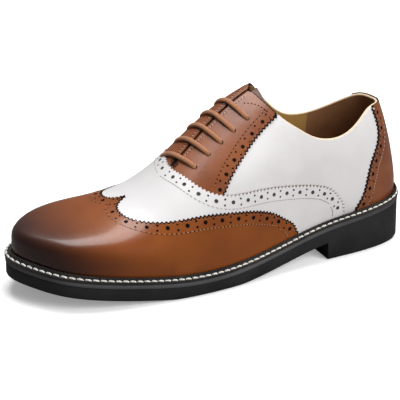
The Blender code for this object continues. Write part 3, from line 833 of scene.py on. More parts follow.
def grains(name, starts, ends, normals, radius, flatten, arch, finish, node):
    """Small rounded bars between pairs of points: stitches, painted shade of needle holes, and rope turns
    """
    count, sides, rings = len(starts), 6, len(RING_AT)
    axis = ends - starts
    side = np.cross(normals, axis)
    side /= np.linalg.norm(side, axis=1)[:, None]
    angle = np.linspace(0, 2 * np.pi, sides, endpoint=False)
    rise = arch * radius * 4 * RING_AT * (1 - RING_AT)
    centre = starts[:, None] + axis[:, None] * RING_AT[None, :, None]
    centre = centre + normals[:, None] * rise[None, :, None]
    across = np.cos(angle)[None, None, :, None] * side[:, None, None]
    above = flatten * np.sin(angle)[None, None, :, None] * normals[:, None, None]
    points = centre[:, :, None] + radius * RING_SIZE[None, :, None, None] * (across + above)
    faces = []
    for s in range(count):
        first = s * rings * sides
        for j in range(rings - 1):
            for k in range(sides):
                n = (k + 1) % sides
                a, b = first + j * sides, first + (j + 1) * sides
                faces.append((a + k, b + k, b + n, a + n))
        faces.append(tuple(first + k for k in reversed(range(sides))))
        faces.append(tuple(first + (rings - 1) * sides + k for k in range(sides)))
    made = make_mesh(name, points.reshape(-1, 3), faces, finish, crease=80)
    return made


def sewn(name, line, inset, pitch, length, radius, out, finish, node, start=1.0, end=None, lean=0.0,
         flatten=0.8, arch=0.8, phase=0.0):
    """A row of stitches, or of dark marks that paint the shade of needle holes, a steady distance inside a
    line
    """
    end = line.length - 1.0 if end is None else end
    middle_at = np.arange(start + phase, end, pitch)
    turns, ups = line.own_side(line.inward(middle_at, inset))
    middle_at = middle_at[:len(turns)]
    keep = (ups > 0.004) & (ups < 0.9995)
    middle_at, turns, ups = middle_at[keep], turns[keep], ups[keep]
    tips = []
    for way in (-0.5, 0.5):
        spot = line.inward(middle_at, inset + way * lean, way * length)
        tips.append(on_last(*spot, np.full(len(middle_at), out)))
    return grains(name, *tips, skin_normal(turns, ups), radius, flatten, arch, finish, node)


def needled(name, line, inset, pitch, length, radius, out, node, **more):
    """A row of flat dark marks: painted shade of the needle holes"""
    sewn(name, line, inset, pitch, length, radius, out, needle_hole_shade, node,
         flatten=0.3, arch=0.2, **more)


def backing(name, outline, out, finish):
    """A plain layer under the piece above it: it shows through its holes, or paints shade between its teeth
    and in its eyelets
    """
    made = clicked(name, outline, [], out, 0.0, [finish])


band_lateral, band_medial = both_sides(BAND_LINE)
wing_lateral, wing_medial = both_sides(WING_LINE)
under_wing = [(up, station + UNDER_WING) for up, station in WING_LINE]
front_lateral, front_medial = both_sides(under_wing)
band_holes = []
for line in (band_lateral, band_medial):
    band_holes += punched(line, start=10.6, pitch=11.3, count=15, big=1.45, small=0.8, inset=5.3)
vamp_white = leather("vamp_white", (0.74, 0.72, 0.725), (0.70, 0.68, 0.685), 0.42, 0.15)
# cut_edge_shade: grey-brown on the vamp's real cut sides, on the strips under its teeth and on the ticks;
# the grey-brown is painted shade of the teeth.
cut_edge_shade = plain_finish("cut_edge_shade", (0.40, 0.35, 0.31))
backing_grey = plain_finish("backing_grey", (0.085, 0.09, 0.072), 0.8)
# seam_groove_shade: grey for the band's seam stitches, painted shade of the groove they lie in.
seam_groove_shade = plain_finish("seam_groove_shade", (0.34, 0.32, 0.31), 0.8)

front_up = front_lateral.at(np.linspace(0, front_lateral.length, 150))
front_down = front_medial.at(np.linspace(0, front_medial.length, 150))
vamp_outline = joined(
    over_the_top(band_lateral, band_medial),
    welt_run(welt_turn(BAND_LINE, True), welt_turn(WING_LINE, True, UNDER_WING - 2)),
    front_down, tuple(r[1:] for r in reverse(front_up)),
    welt_run(welt_turn(WING_LINE, False, UNDER_WING - 2), welt_turn(BAND_LINE, False)))
vamp = clicked("vamp_leather", vamp_outline, band_holes, VAMP_OUT, 0.0, [vamp_white, cut_edge_shade])
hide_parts("vamp")
for line in (band_lateral, band_medial):
    side = "medial" if line.medial else "lateral"
    under_holes = strip(line, near=2.0, far=8.6, start=2, end=line.length - 0.5)
    backing("band_backing_" + side, under_holes, VAMP_OUT - 0.5, backing_grey)
    # A grey-brown strip under the teeth, showing between them: painted shadow of the teeth on the quarter.
    under_teeth = strip(line, near=0.35, far=3.2, start=1.5, end=112)
    backing("band_painted_shadow_" + side, under_teeth, 0.35, cut_edge_shade)
    # Slanted grey-brown bars at the tooth valleys: painted shade of the teeth's cut edges.
    sewn("band_tooth_edge_shade_" + side, line, inset=0.55, pitch=TOOTH_PITCH, length=0.9, radius=0.33,
         out=VAMP_OUT - 0.1, finish=cut_edge_shade, node="vamp", start=2.2, end=118, lean=2.2)
    # The seam's stitches are real; their grey is painted shade of the groove they sink into.
    sewn("band_seam_" + side, line, inset=9.7, pitch=2.5, length=2.1, radius=0.2,
         out=VAMP_OUT + 0.02, finish=seam_groove_shade, node="vamp", start=5.0)

# Wing cap: one brown calf piece over the toe and along both sides, burnished almost black
# at the tip. Its edge is pinked, inked black and punched over a black backing.
WING_OUT = 1.95
WING_SEAM = 9.5
EDGE_SEAM = 2.75
MEDALLION_STATION = 219.3
MEDALLION_UP = 0.9995
wing_holes = []
for line in (wing_lateral, wing_medial):
    wing_holes += punched(line, start=13.0, pitch=13.2, count=13, big=1.5, small=0.85, inset=5.1)
wing_holes.append(round_hole(turn_at(MEDALLION_STATION), MEDALLION_UP, 1.4, 14))


def burnished(name, colour, deep, dark, roughness, coat):
    """Brown calf rubbed with dark polish towards the toe and along its foot"""
    made, tree, shader = new_finish(name, roughness, coat, 0.13)
    calf = use_group(tree, grain, Pore_size=1.0)
    mixed = colour_mix(tree, ramp(tree, calf.outputs["Patch"], 0.3, 0.7), deep, colour)
    spot = add_node(tree, "ShaderNodeTexCoord").outputs["Object"]
    place = add_node(tree, "ShaderNodeSeparateXYZ", Vector=spot)
    forward = math_node(tree, "MULTIPLY", place.outputs[0], -1000.0)
    above_foot = math_node(tree, "SUBTRACT", place.outputs[2], 0.032)
    height = math_node(tree, "MULTIPLY", above_foot, 1050.0)
    reach = math_node(tree, "SUBTRACT", forward, math_node(tree, "MAXIMUM", height, 0.0))
    uneven = math_node(tree, "SUBTRACT", calf.outputs["Patch"], 0.5)
    wander = math_node(tree, "MULTIPLY", uneven, 30.0)
    polish = ramp(tree, math_node(tree, "ADD", reach, wander), 58.0, 132.0)
    mixed = colour_mix(tree, polish, mixed, dark)
    dress(tree, shader, calf, mixed, 0.05, 0.0006, (roughness - 0.04, roughness + 0.06))
    return made


wing_brown = burnished(
    "wing_brown", (0.25, 0.065, 0.009), (0.20, 0.048, 0.007), (0.026, 0.005, 0.003), 0.36, 0.22)
black_ink = plain_finish("black_ink", (0.010, 0.006, 0.006), 0.85)
wing_thread = plain_finish("wing_thread", (0.50, 0.29, 0.16))
dull_thread = plain_finish("dull_thread", (0.36, 0.17, 0.10))
# needle_hole_shade: flat dark marks that paint the shade inside needle holes.
needle_hole_shade = plain_finish("needle_hole_shade", (0.035, 0.010, 0.006))
wing_outline = joined(
    over_the_top(wing_lateral, wing_medial),
    welt_run(welt_turn(WING_LINE, True), welt_turn(WING_LINE, False)))
wing_ink = over_the_top(wing_lateral, wing_medial, 1.15, 0.012)
wing_cap = clicked(
    "wing_leather", wing_outline, wing_holes, WING_OUT, 0.0, [wing_brown, black_ink],
    edging=[wing_ink])
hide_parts("wing_cap")
under_medallion = round_hole(turn_at(MEDALLION_STATION), MEDALLION_UP, 2.4, 14)
backing("wing_backing_middle", under_medallion, WING_OUT - 0.5, black_ink)
for line in (wing_lateral, wing_medial):
    side = "medial" if line.medial else "lateral"
    under_holes = strip(line, near=2.0, far=8.0, start=1, end=line.length, to_ridge=True)
    backing("wing_backing_" + side, under_holes, WING_OUT - 0.45, black_ink)
    sewn("wing_stitches_" + side, line, inset=WING_SEAM, pitch=3.0, length=1.7, radius=0.26,
         out=WING_OUT + 0.05, finish=wing_thread, node="wing_cap")
    needled("wing_needle_hole_shade_" + side, line, inset=WING_SEAM, pitch=3.0, length=0.9,
            radius=0.5, out=WING_OUT, node="wing_cap", phase=1.5)
    sewn("wing_edge_stitches_" + side, line, inset=EDGE_SEAM, pitch=3.0, length=0.9,
         radius=0.26, out=WING_OUT, finish=dull_thread, node="wing_cap")

# Facings: the brown lace stays on both sides of the closed slit. Their rear edges are pinked
# and punched, a row of flat dark marks, painted shade of needle holes, follows them and
# turns along the collar, and a zigzag seam runs beside the slit down to its bar tack.
FACING_OUT = 0.75
FACING_TOP = 0.9905
FACING_SEAM = 9.4
FACING_FRONT = [
    (0.50, 160.0), (0.562, 166.0), (0.638, 173.5), (0.733, 179.5), (0.855, 184.0),
    (FACING_TOP, 187.0),
]
COLLAR_ROW = [(0.80, 111.3), (0.833, 113.2), (0.878, 116.1), (0.922, 120.6), (0.955, 125.5)]
BAR_STATIONS = [175.5, 164.0, 153.5, 143.0, 131.5]
BAR_SLANT = 5.5
EYELET_UP = (0.85, 0.815)
EYELET_RADIUS = 1.75
facing_brown = leather("facing_brown", (0.26, 0.078, 0.026), (0.19, 0.054, 0.018), 0.38, 0.18, bump=0.16)
facing_thread = plain_finish("facing_thread", (0.68, 0.52, 0.44))


def eyelet(number, medial):
    station = BAR_STATIONS[number] + (BAR_SLANT if medial else -BAR_SLANT)
    return float(side_turn(station, medial)), EYELET_UP[medial]


class SlitLine(SideLine):
    """The edge of the slit on one side, from the collar to the throat"""

    def __init__(self, medial):
        stations = np.linspace(120, 178, 60)
        Line.__init__(self, side_turn(stations, medial), np.full(60, FACING_TOP))
        self.medial = medial
        self.sign = -1 if medial else 1


for medial in (False, True):
    side = "medial" if medial else "lateral"
    node = "facing_" + side
    rear = SideLine(FACING_LINE, medial, high=0.732)
    front = SideLine(FACING_FRONT, medial, high=FACING_TOP)
    stations = np.concatenate([np.linspace(105.5, 117, 14), np.linspace(117, 187, 45)[1:-1]])
    turns = side_turn(stations, medial)
    outline = joined(rear.teeth(), (turns, np.minimum(top_share(turns), FACING_TOP)),
                     reverse(front.at(np.linspace(0, front.length, 24))))
    ink_stations = np.linspace(106.8, 115.5, 17)
    ink_turns = side_turn(ink_stations, medial)
    collar_ink = (ink_turns, top_share(ink_turns) - np.where(np.arange(17) % 2, 0.010, 0.019))
    holes = punched(rear, start=6.9, pitch=11.6, count=6, big=1.45, small=0.8)
    holes += [round_hole(*eyelet(number, medial), EYELET_RADIUS, 16) for number in range(5)]
    rear_ink = rear.teeth(1.15, 3.0, rear.length - 3.0)
    made = clicked(
        "facing_leather_" + side, outline, holes, FACING_OUT, 0.0, [facing_brown, black_ink],
        edging=[rear_ink, collar_ink])
    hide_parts(node)
    under_holes = strip(rear, near=2.0, far=8.0, start=2, end=rear.length - 1.5)
    backing("facing_backing_" + side, under_holes, FACING_OUT - 0.45, black_ink)
    # A black ring under each eyelet, showing round the lace: painted shade of the hole the lace dives into.
    for number in range(5):
        ring = round_hole(*eyelet(number, medial), EYELET_RADIUS + 0.7, 12)
        backing("eyelet_%s_%d" % (side, number + 1), ring, 0.2, black_ink)
    sewn("facing_edge_stitches_" + side, rear, inset=EDGE_SEAM, pitch=3.0, length=1.1,
         radius=0.33, out=FACING_OUT, finish=dull_thread, node=node, start=2.0)
    sewn("facing_stitches_" + side, rear, inset=FACING_SEAM, pitch=3.0, length=1.3,
         radius=0.22, out=FACING_OUT + 0.02, finish=dull_thread, node=node, start=8.5)
    needled("facing_needle_marks_" + side, rear, inset=FACING_SEAM, pitch=3.0, length=0.95,
            radius=0.55, out=FACING_OUT, node=node, start=8.5, phase=1.5)
    needled("collar_needle_hole_shade_" + side, SideLine(COLLAR_ROW, medial), inset=0.0, pitch=2.6,
            length=1.0, radius=0.55, out=FACING_OUT, node=node, start=0.3)
    slit = SlitLine(medial)
    sewn("slit_stitches_" + side, slit, inset=2.2, pitch=2.5, length=1.2, radius=0.25,
         out=FACING_OUT + 0.02, finish=facing_thread, node=node, lean=1.2)
    needled("slit_needle_hole_shade_" + side, slit, inset=2.6, pitch=2.5, length=0.7, radius=0.36,
            out=FACING_OUT, node=node, phase=1.25)

tack_stations = np.array([178.2, 179.2, 180.2, 181.2])
tack_out = np.full(4, FACING_OUT + 0.1)
tack = on_last(turn_at(tack_stations), np.full(4, 0.958), tack_out)
tack_end = on_last(side_turn(tack_stations - 1.5, True), np.full(4, 0.965), tack_out)
tack_normal = skin_normal(turn_at(tack_stations), np.full(4, 0.98))
grains("slit_bar_tack", tack, tack_end, tack_normal, radius=0.42, flatten=0.8, arch=1.0,
       finish=black_ink, node="facing_lateral")

# Heel counter: brown calf round the back of the shoe, pinked and punched at its front edges,
# with one light seam inside the holes and a white tack at each top corner.
COUNTER_OUT = 0.95
counter_brown = leather("counter_brown", (0.22, 0.068, 0.026), (0.16, 0.045, 0.017), 0.38, 0.25)


class CounterLine(SideLine):
    """A front edge of the counter. The medial one has turns below zero, so that the piece
    runs round the heel without a break."""

    def __init__(self, table, medial):
        high = float(top_share(side_turn([25.5], medial))[0]) - 0.004
        super().__init__(table, False, False, high=high)
        if medial:
            self.turns = -self.turns
            self.sign = 1
        self.name = "medial" if medial else "lateral"

    def own_side(self, run):
        return run


counter_lateral, counter_medial = CounterLine(COUNTER_LINE, False), CounterLine(COUNTER_LINE, True)
collar_turns = np.linspace(counter_lateral.turns[-1] - 0.03, counter_medial.turns[-1] + 0.03, 44)
collar_edge = top_share(collar_turns) + 0.004
counter_outline = joined(
    counter_lateral.teeth(), (collar_turns, collar_edge), reverse(counter_medial.teeth()),
    welt_run(counter_medial.turns[0] + 0.03, counter_lateral.turns[0] - 0.03))
counter_holes = []
counter_ink = []
for line in (counter_lateral, counter_medial):
    counter_holes += punched(line, start=9.5, pitch=10.9, count=7, big=1.35, small=0.75, inset=5.0)
    counter_ink.append(line.teeth(1.1, 3.0, line.length - 3.0))
counter = clicked(
    "counter_leather", counter_outline, counter_holes, COUNTER_OUT, 0.0,
    [counter_brown, black_ink], edging=counter_ink)
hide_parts("heel_counter")
for line in (counter_lateral, counter_medial):
    under_holes = strip(line, near=2.0, far=8.0, start=3, end=line.length - 4)
    backing("counter_backing_" + line.name, under_holes, COUNTER_OUT - 0.45, black_ink)
    sewn("counter_stitches_" + line.name, line, inset=9.5, pitch=2.3, length=1.7, radius=0.2,
         out=COUNTER_OUT + 0.03, finish=facing_thread, node="heel_counter",
         end=line.length - 14)
    sewn("counter_edge_stitches_" + line.name, line, inset=EDGE_SEAM, pitch=3.0, length=0.9,
         radius=0.26, out=COUNTER_OUT, finish=wing_thread, node="heel_counter")
white_thread = plain_finish("white_thread", (0.80, 0.78, 0.74))
for line in (counter_lateral, counter_medial):
    sewn("counter_tack_" + line.name, line, inset=1.6, pitch=9.0, length=1.8, radius=0.55,
         out=COUNTER_OUT + 0.1, finish=white_thread, node="heel_counter",
         start=line.length - 1.2, end=line.length - 0.2)

# Tongue: one brown piece of calf under the slit. It lies below the lining and the lace, from
# the collar to ahead of the throat, where a maker sews it in.
TONGUE_ENDS = (109.0, 200.0)
TONGUE_UP = 0.80
tongue_brown = leather("tongue_brown", (0.12, 0.055, 0.03), (0.08, 0.035, 0.02), 0.55, 0.1)
TONGUE_TOP = 0.999
tongue_stations = np.linspace(*TONGUE_ENDS, 60)
end_rise = np.linspace(TONGUE_UP, TONGUE_TOP, 14)
end_fall = np.linspace(TONGUE_TOP, TONGUE_UP, 14)
end_run = np.concatenate([end_rise, end_fall[1:]])[1:-1]


def tongue_end(station, from_medial):
    first = float(side_turn(station, from_medial))
    last = float(side_turn(station, not from_medial))
    return np.concatenate([np.full(13, first), np.full(12, last)]), end_run


lateral_edge = (turn_at(tongue_stations), np.full(60, TONGUE_UP))
medial_edge = (side_turn(tongue_stations, True), np.full(60, TONGUE_UP))
tongue_outline = joined(
    lateral_edge, tongue_end(TONGUE_ENDS[1], False), reverse(medial_edge),
    tongue_end(TONGUE_ENDS[0], True))
tongue = clicked("tongue_leather", tongue_outline, [], -4.4, -6.0, [tongue_brown])
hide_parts("tongue")

# Insole: a leather sock with a rounded top edge. It lies on the welt's inside, within the
# foot of the lining, and is glued down.
sole_turns = even_turns(2.0)


def sole_loop(out, height, turns=None):
    """A closed loop at a distance out from the foot of the leather"""
    turns = sole_turns if turns is None else turns
    here = feather_at(turns)
    flat = here + loop_normals(here) * np.broadcast_to(out, len(turns))[:, None]
    return np.stack([CENTRE_STATION - flat[:, 0], flat[:, 1] - CENTRE_SIDE, height(flat[:, 0])], 1)


def over_welt(lift):
    return lambda station: welt_top(station) + lift


def cap(count, start):
    faces = []
    for k in range(count // 2):
        face = (start + k, start + k + 1, start + (count - k - 1) % count, start + (count - k) % count)
        if len(set(face)) > 2:
            faces.append(tuple(dict.fromkeys(face)))
    return faces


def stacked(name, loops, finishes, capped=True, crease=40):
    """A body from closed loops, capped at both ends or joined into a ring"""
    count = len(loops[0])
    faces = net_faces(len(loops), count)
    if capped:
        faces += cap(count, 0) + cap(count, (len(loops) - 1) * count)
    else:
        last = (len(loops) - 1) * count
        faces += [(last + k, last + (k + 1) % count, (k + 1) % count, k) for k in range(count)]
    return make_mesh(name, np.concatenate(loops), faces, finishes, crease=crease)


sock_tan = leather("sock_tan", (0.34, 0.19, 0.09), (0.26, 0.14, 0.065), 0.6, 0.0, 1.4)
sock = stacked("insole_sock", [
    sole_loop(-2.5, over_welt(0.3)), sole_loop(-2.3, over_welt(1.2)),
    sole_loop(-2.5, over_welt(2.6)), sole_loop(-3.2, over_welt(2.9))], [sock_tan])
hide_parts("insole")

# Welt: a black storm welt, with a ribbed bead standing against the leather all round and
# rope-like white stitches beside the edge.
WELT_THICKNESS = 2.0
BEAD_START = 2.1
BEAD_HEIGHT = 2.9
BEAD_SHARE = 0.27
RIB_PITCH = 2.3
welt_turns = even_turns(0.55)
welt_reach = welt_inset(station_at(welt_turns))
own_section = section(station_at(welt_turns))
own_swell = np.where(np.sin(welt_turns) >= 0, own_section[:, 0], own_section[:, 1])
bead_width = BEAD_SHARE * welt_reach
bead_start = BEAD_START + 2 * BEAD_HEIGHT * own_swell / own_section[:, 2]
foot_loop = feather_at(welt_turns)
along_foot = np.concatenate([[0], np.cumsum(np.linalg.norm(np.diff(foot_loop, axis=0), axis=1))])
foot_length = along_foot[-1] + np.linalg.norm(foot_loop[0] - foot_loop[-1])
ribs = np.abs(np.sin(np.pi * along_foot * round(foot_length / RIB_PITCH) / foot_length))
groove = 0.75 * (1 - ribs**0.6)
welt_black = leather("welt_black", (0.034, 0.030, 0.027), (0.018, 0.016, 0.015), 0.42, 0.1)


def welt_loop(out, lift):
    return sole_loop(out, lambda station: welt_top(station) + lift, welt_turns)


welt_loops = [
    welt_loop(-7, 0), welt_loop(-7, -WELT_THICKNESS),
    welt_loop(welt_reach - 0.2, -WELT_THICKNESS), welt_loop(welt_reach, -WELT_THICKNESS + 0.3),
    welt_loop(welt_reach, -0.35), welt_loop(welt_reach - 0.4, 0),
    welt_loop(bead_start + bead_width + 0.2, 0),
    welt_loop(bead_start + 1.02 * bead_width - 0.6 * groove, 0.35 * BEAD_HEIGHT),
    welt_loop(bead_start + 0.9 * bead_width - groove, 0.75 * BEAD_HEIGHT - 0.4 * groove),
    welt_loop(bead_start + 0.55 * bead_width, BEAD_HEIGHT - 0.9 * groove),
    welt_loop(bead_start + 0.15 * bead_width, 0.95 * BEAD_HEIGHT - 0.5 * groove),
    welt_loop(bead_start, 0.6 * BEAD_HEIGHT), welt_loop(bead_start, 0)]
welt = stacked("welt_strip", welt_loops, [welt_black], False)
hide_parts("welt")

STITCH_PITCH = 5.0
STITCH_LENGTH = 4.3
ROPE_SLANT = 0.28
ROPE_LIFT = 0.2
stitch_count = int(round(foot_length / STITCH_PITCH))
stitch_at = (np.arange(stitch_count) + 0.5) * foot_length / stitch_count
edge_of = welt_reach - 1.05


def rope_point(distance, more, lift):
    wrapped = np.mod(distance, foot_length)
    turns = np.interp(wrapped, np.append(along_foot, foot_length), np.append(welt_turns, 2 * np.pi))
    out = np.interp(wrapped, np.append(along_foot, foot_length), np.append(edge_of, edge_of[0]))
    return sole_loop(out + more, over_welt(lift), turns)


rope_thread = plain_finish("rope_thread", (0.92, 0.90, 0.84))
rope_starts = rope_point(stitch_at - STITCH_LENGTH / 2, ROPE_SLANT, ROPE_LIFT)
rope_ends = rope_point(stitch_at + STITCH_LENGTH / 2, -ROPE_SLANT, ROPE_LIFT)
upright = np.tile([0.0, 0.0, 1.0], (stitch_count, 1))
grains("welt_rope_stitches", rope_starts, rope_ends, upright, radius=0.92, flatten=0.75,
       arch=0.35, finish=rope_thread, node="welt")

# Midsole band: smooth grey rubber between the welt and the outsole, moulded in one run all
# round, and darker towards the heel.
BAND_THICKNESS = 3.2
sole_reach = welt_inset(station_at(sole_turns))


def rubber(name, colour, deep, roughness, fade=False):
    """Moulded rubber: a fine mould grain, and scuffs that lighten it in patches"""
    made, tree, shader = new_finish(name, roughness, specular=0.2)
    calf = use_group(tree, grain, Pore_size=1.4)
    mixed = colour_mix(tree, ramp(tree, calf.outputs["Patch"], 0.3, 0.7), deep, colour)
    # Darker towards the heel.
    if fade:
        spot = add_node(tree, "ShaderNodeTexCoord").outputs["Object"]
        place = add_node(tree, "ShaderNodeSeparateXYZ", Vector=spot)
        heel_darkening = ramp(tree, place.outputs[0], 0.05, 0.13, 0.0, 0.6)
        mixed = colour_mix(tree, heel_darkening, mixed, (0.03, 0.03, 0.032))
    dress(tree, shader, calf, mixed, 0.12, 0.0005, (roughness - 0.06, roughness + 0.08))
    return made


band_grey = rubber("midsole_grey", (0.105, 0.107, 0.112), (0.08, 0.081, 0.085), 0.55, True)
top = -WELT_THICKNESS - CLEARANCE
foot = top - BAND_THICKNESS
midsole = stacked("midsole_band", [
    sole_loop(sole_reach - 0.9, over_welt(foot)),
    sole_loop(sole_reach - 0.4, over_welt(foot + 0.5)),
    sole_loop(sole_reach - 0.3, over_welt(top - BAND_THICKNESS / 2)),
    sole_loop(sole_reach - 0.4, over_welt(top - 0.4)),
    sole_loop(sole_reach - 0.8, over_welt(top)),
    sole_loop(-7.3, over_welt(top)), sole_loop(-7.3, over_welt(-0.3))], [band_grey])
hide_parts("midsole")

# Outsole: black rubber moulded in one with the block heel, which ends in a straight breast.
# It is cemented under the midsole band, and the heel's lower rear corner is worn.
SOLE_THICKNESS = 14.8
WORN_LENGTH = 14.0
WORN_HEIGHT = 5.5
HEEL_LENGTH = 72.0
HEEL_BREAST = 0.6
outsole_black = rubber("outsole_black", (0.024, 0.024, 0.026), (0.016, 0.016, 0.017), 0.5)
outsole_half = sole_turns[(sole_turns > 0) & (sole_turns < np.pi - 1e-6)]
outsole_half = np.sort(np.append(outsole_half, turn_at([HEEL_LENGTH, HEEL_LENGTH + HEEL_BREAST])))
outsole_turns = np.concatenate([[0], outsole_half, [np.pi], 2 * np.pi - outsole_half[::-1]])
outsole_reach = welt_inset(station_at(outsole_turns)) - 0.7


def tread(out, lift):
    loop = sole_loop(out, over_welt(0), outsole_turns)
    sole = np.maximum(loop[:, 2] - SOLE_THICKNESS, 0)
    heel = station_at(outsole_turns) < HEEL_LENGTH + HEEL_BREAST / 2
    worn = np.clip(1 - station_at(outsole_turns) / WORN_LENGTH, 0, 1)**2 * WORN_HEIGHT
    loop[:, 2] = np.where(heel, worn, sole) + lift
    return loop


under_band = -WELT_THICKNESS - BAND_THICKNESS
outsole = stacked("outsole_rubber", [
    tread(outsole_reach - 1.2, 0), tread(outsole_reach - 0.35, 0.35), tread(outsole_reach, 1.2),
    sole_loop(outsole_reach, over_welt(under_band - 1.2), outsole_turns),
    sole_loop(outsole_reach - 0.4, over_welt(under_band - 0.6), outsole_turns)], [outsole_black])
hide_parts("outsole")

# Lace: one flat woven cord in straight bars. It dives through the punched eyelets and runs
# under the facings from row to row, and both ends stop hidden at the top eyelets.
LACE_WIDTH = 3.7
LACE_THICKNESS = 2.8
LACE_SIDES = 14
DIVE_SHARE = 0.35
UNDER_OUT = -3.3
OVER_OUT = FACING_OUT + LACE_THICKNESS / 2 + 0.12


def lace_material():
    """Two tones of tan thread woven across each other"""
    made, tree, shader = new_finish("lace_tan", 0.68, sheen=0.2)
    where = add_node(tree, "ShaderNodeTexCoord").outputs["UV"]
    weave = add_node(tree, "ShaderNodeTexWave", Vector=where, Scale=1.0, Distortion=0.0)
    weave.wave_type, weave.bands_direction = "BANDS", "DIAGONAL"
    calf = use_group(tree, grain, Pore_size=0.7)
    tone = math_node(tree, "ADD", weave.outputs[1], math_node(tree, "MULTIPLY", calf.outputs["Tone"], 0.5))
    mixed = colour_mix(tree, ramp(tree, tone, 0.4, 0.95), (0.20, 0.07, 0.028), (0.50, 0.22, 0.10))
    tree.links.new(mixed, shader.inputs["Base Color"])
    lift = add_node(tree, "ShaderNodeBump", Strength=0.5, Distance=0.0004, Height=weave.outputs[1])
    tree.links.new(lift.outputs[0], shader.inputs["Normal"])
    return made


def bar_run(number, backwards):
    """From one eyelet over the ridge to the other, as (turns, shares, heights)"""
    w = np.linspace(0, 1, 16)
    first, last = eyelet(number, False), eyelet(number, True)
    to_ridge = turn_at(BAR_STATIONS[number] - BAR_SLANT * (1 - w))
    from_ridge = side_turn(BAR_STATIONS[number] + BAR_SLANT * w[1:], True)
    turns = np.concatenate([to_ridge, from_ridge])
    ups = np.concatenate([first[1] + (1 - first[1]) * w, 1 + (last[1] - 1) * w[1:]])
    rise = np.sin(np.linspace(0, np.pi, 31))**0.30
    outs = UNDER_OUT * DIVE_SHARE + (OVER_OUT - UNDER_OUT * DIVE_SHARE) * rise
    return [r[::-1] if backwards else r for r in (turns, ups, outs)]


def under_run(start, end, low=0.0):
    """Under a facing from one eyelet to the next"""
    w = np.linspace(0, 1, 12)[1:-1]
    dip = UNDER_OUT * (DIVE_SHARE + 0.65 * np.sin(np.pi * w)**0.5)
    ups = start[1] + (end[1] - start[1]) * w - low * np.sin(np.pi * w)
    return [start[0] + (end[0] - start[0]) * w, ups, dip]


lace_runs = []
order = [(3, False), (1, True), (0, False), (2, True), (4, False)]
lace_runs.append(under_run((eyelet(4, False)[0], EYELET_UP[0] - 0.03), eyelet(3, False)))
for k, (number, backwards) in enumerate(order):
    lace_runs.append(bar_run(number, backwards))
    if k + 1 < len(order):
        medial = not backwards
        following = eyelet(order[k + 1][0], medial)
        low = 0.035 if k == 3 else 0.0
        lace_runs.append(under_run(eyelet(number, medial), following, low))
lace_runs.append(under_run(eyelet(4, True), (eyelet(4, True)[0] - 0.02, EYELET_UP[1] - 0.05)))
rows = [np.concatenate([run[k] for run in lace_runs]) for k in range(3)]
lace_path = on_last(*rows)
lace_face = skin_normal(rows[0], np.minimum(rows[1], 0.999))
lace_flatness = LACE_THICKNESS / LACE_WIDTH
lace_tube = tube_round(lace_path, LACE_WIDTH / 2, LACE_SIDES, lace_flatness, lace_face)
lace = make_mesh("lace", *lace_tube, [lace_material()])
lace_uv = lace.data.uv_layers.new(name="weave")
lace_length = np.concatenate([[0], np.cumsum(np.linalg.norm(np.diff(lace_path, axis=0), axis=1))])
for loop in lace.data.loops:
    row, column = divmod(loop.vertex_index, LACE_SIDES)
    lace_uv.data[loop.index].uv = (lace_length[row] * 0.4, column * 0.55)
for number in range(5):
    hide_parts("lace_bar_%d" % (number + 1))

# The table: a flat sheet of pale paper that reads as white, with a soft contact shadow. Two
# square lamps and an even white surrounding light the shoe.
bpy.ops.mesh.primitive_plane_add(size=8, location=(0, 0, -0.0002))
floor = bpy.context.object
floor.name = "floor"
paper, tree, shader = new_finish("pale_paper", 0.95)
shader.inputs["Specular IOR Level"].default_value = 0.0
shader.inputs["Emission Strength"].default_value = 1.0
seen = add_node(tree, "ShaderNodeLightPath").outputs["Is Camera Ray"]
fibre = add_node(tree, "ShaderNodeTexNoise", Scale=900.0, Detail=2.0).outputs[0]
sheet = colour_mix(tree, ramp(tree, fibre, 0.3, 0.7), (0.92, 0.92, 0.92), (0.95, 0.95, 0.95))
tree.links.new(colour_mix(tree, seen, (0.20, 0.19, 0.18), sheet), shader.inputs["Base Color"])
tree.links.new(colour_mix(tree, seen, (0.0, 0.0, 0.0), (0.27, 0.27, 0.27)), shader.inputs["Emission Color"])
floor.data.materials.append(paper)
bpy.context.scene.view_settings.view_transform = "Standard"
world = bpy.context.scene.world or bpy.data.worlds.new("studio")
bpy.context.scene.world = world
world.use_nodes = True
sky = world.node_tree
background = sky.nodes["Background"]
light_path = sky.nodes.new("ShaderNodeLightPath")
strength = sky.nodes.new("ShaderNodeMapRange")
strength.inputs["To Min"].default_value = 0.2
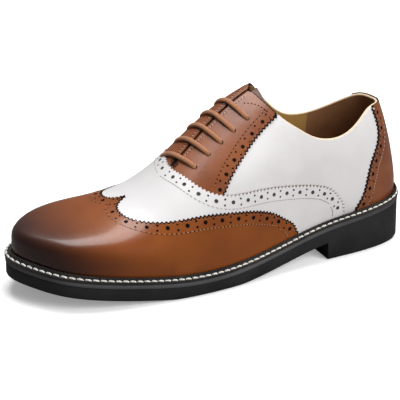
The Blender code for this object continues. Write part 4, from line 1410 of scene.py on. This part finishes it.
strength.inputs["To Max"].default_value = 1.3
sky.links.new(light_path.outputs["Is Camera Ray"], strength.inputs["Value"])
sky.links.new(strength.outputs[0], background.inputs[1])
background.inputs[0].default_value = (1, 1, 1, 1)


def softbox(name, azimuth, elevation, distance, size, power, mirrored=True):
    """A square lamp aimed at the shoe from a direction; azimuth 0 is the shoe's lateral side"""
    a, e = math.radians(azimuth), math.radians(elevation)
    place = Vector((math.sin(a) * math.cos(e), -math.cos(a) * math.cos(e), math.sin(e))) * distance
    lamp = bpy.data.lights.new(name, "AREA")
    lamp.shape = "RECTANGLE"
    lamp.size, lamp.size_y = size
    lamp.energy = power
    made = bpy.data.objects.new(name, lamp)
    made.location = place
    made.rotation_euler = (Vector((0, 0, 0.05)) - place).to_track_quat("-Z", "Y").to_euler()
    made.visible_glossy = mirrored
    bpy.context.scene.collection.objects.link(made)


softbox("overhead", azimuth=165, elevation=76, distance=1.5, size=(1.0, 1.0), power=25)
softbox("fill", azimuth=30, elevation=32, distance=1.8, size=(1.2, 1.2), power=28, mirrored=False)

# Camera: the photograph's place, a long lens a little above the shoe. The photo is 400 pixels
# wide, and the focal length is given in those pixels, for a sensor 36 mm wide.
AZIMUTH, ELEVATION = math.radians(-24), math.radians(22.5)
CAMERA_DISTANCE = 1.6
FOCAL_PIXELS = 2255
PHOTO_PIXELS = 400
SENSOR_WIDTH = 36
level = math.cos(ELEVATION)
back = Vector((math.sin(AZIMUTH) * level, -math.cos(AZIMUTH) * level, math.sin(ELEVATION)))
target = Vector((-6.5 + CENTRE_STATION - LENGTH / 2, -CENTRE_SIDE, 48)) * MM
camera = bpy.data.objects.new("camera", bpy.data.cameras.new("camera"))
camera.location = target + back * CAMERA_DISTANCE
camera.rotation_euler = back.to_track_quat("Z", "Y").to_euler()
camera.data.sensor_width = SENSOR_WIDTH
camera.data.lens = FOCAL_PIXELS / PHOTO_PIXELS * SENSOR_WIDTH
camera.data.clip_end = 20
bpy.context.scene.collection.objects.link(camera)
bpy.context.scene.camera = camera
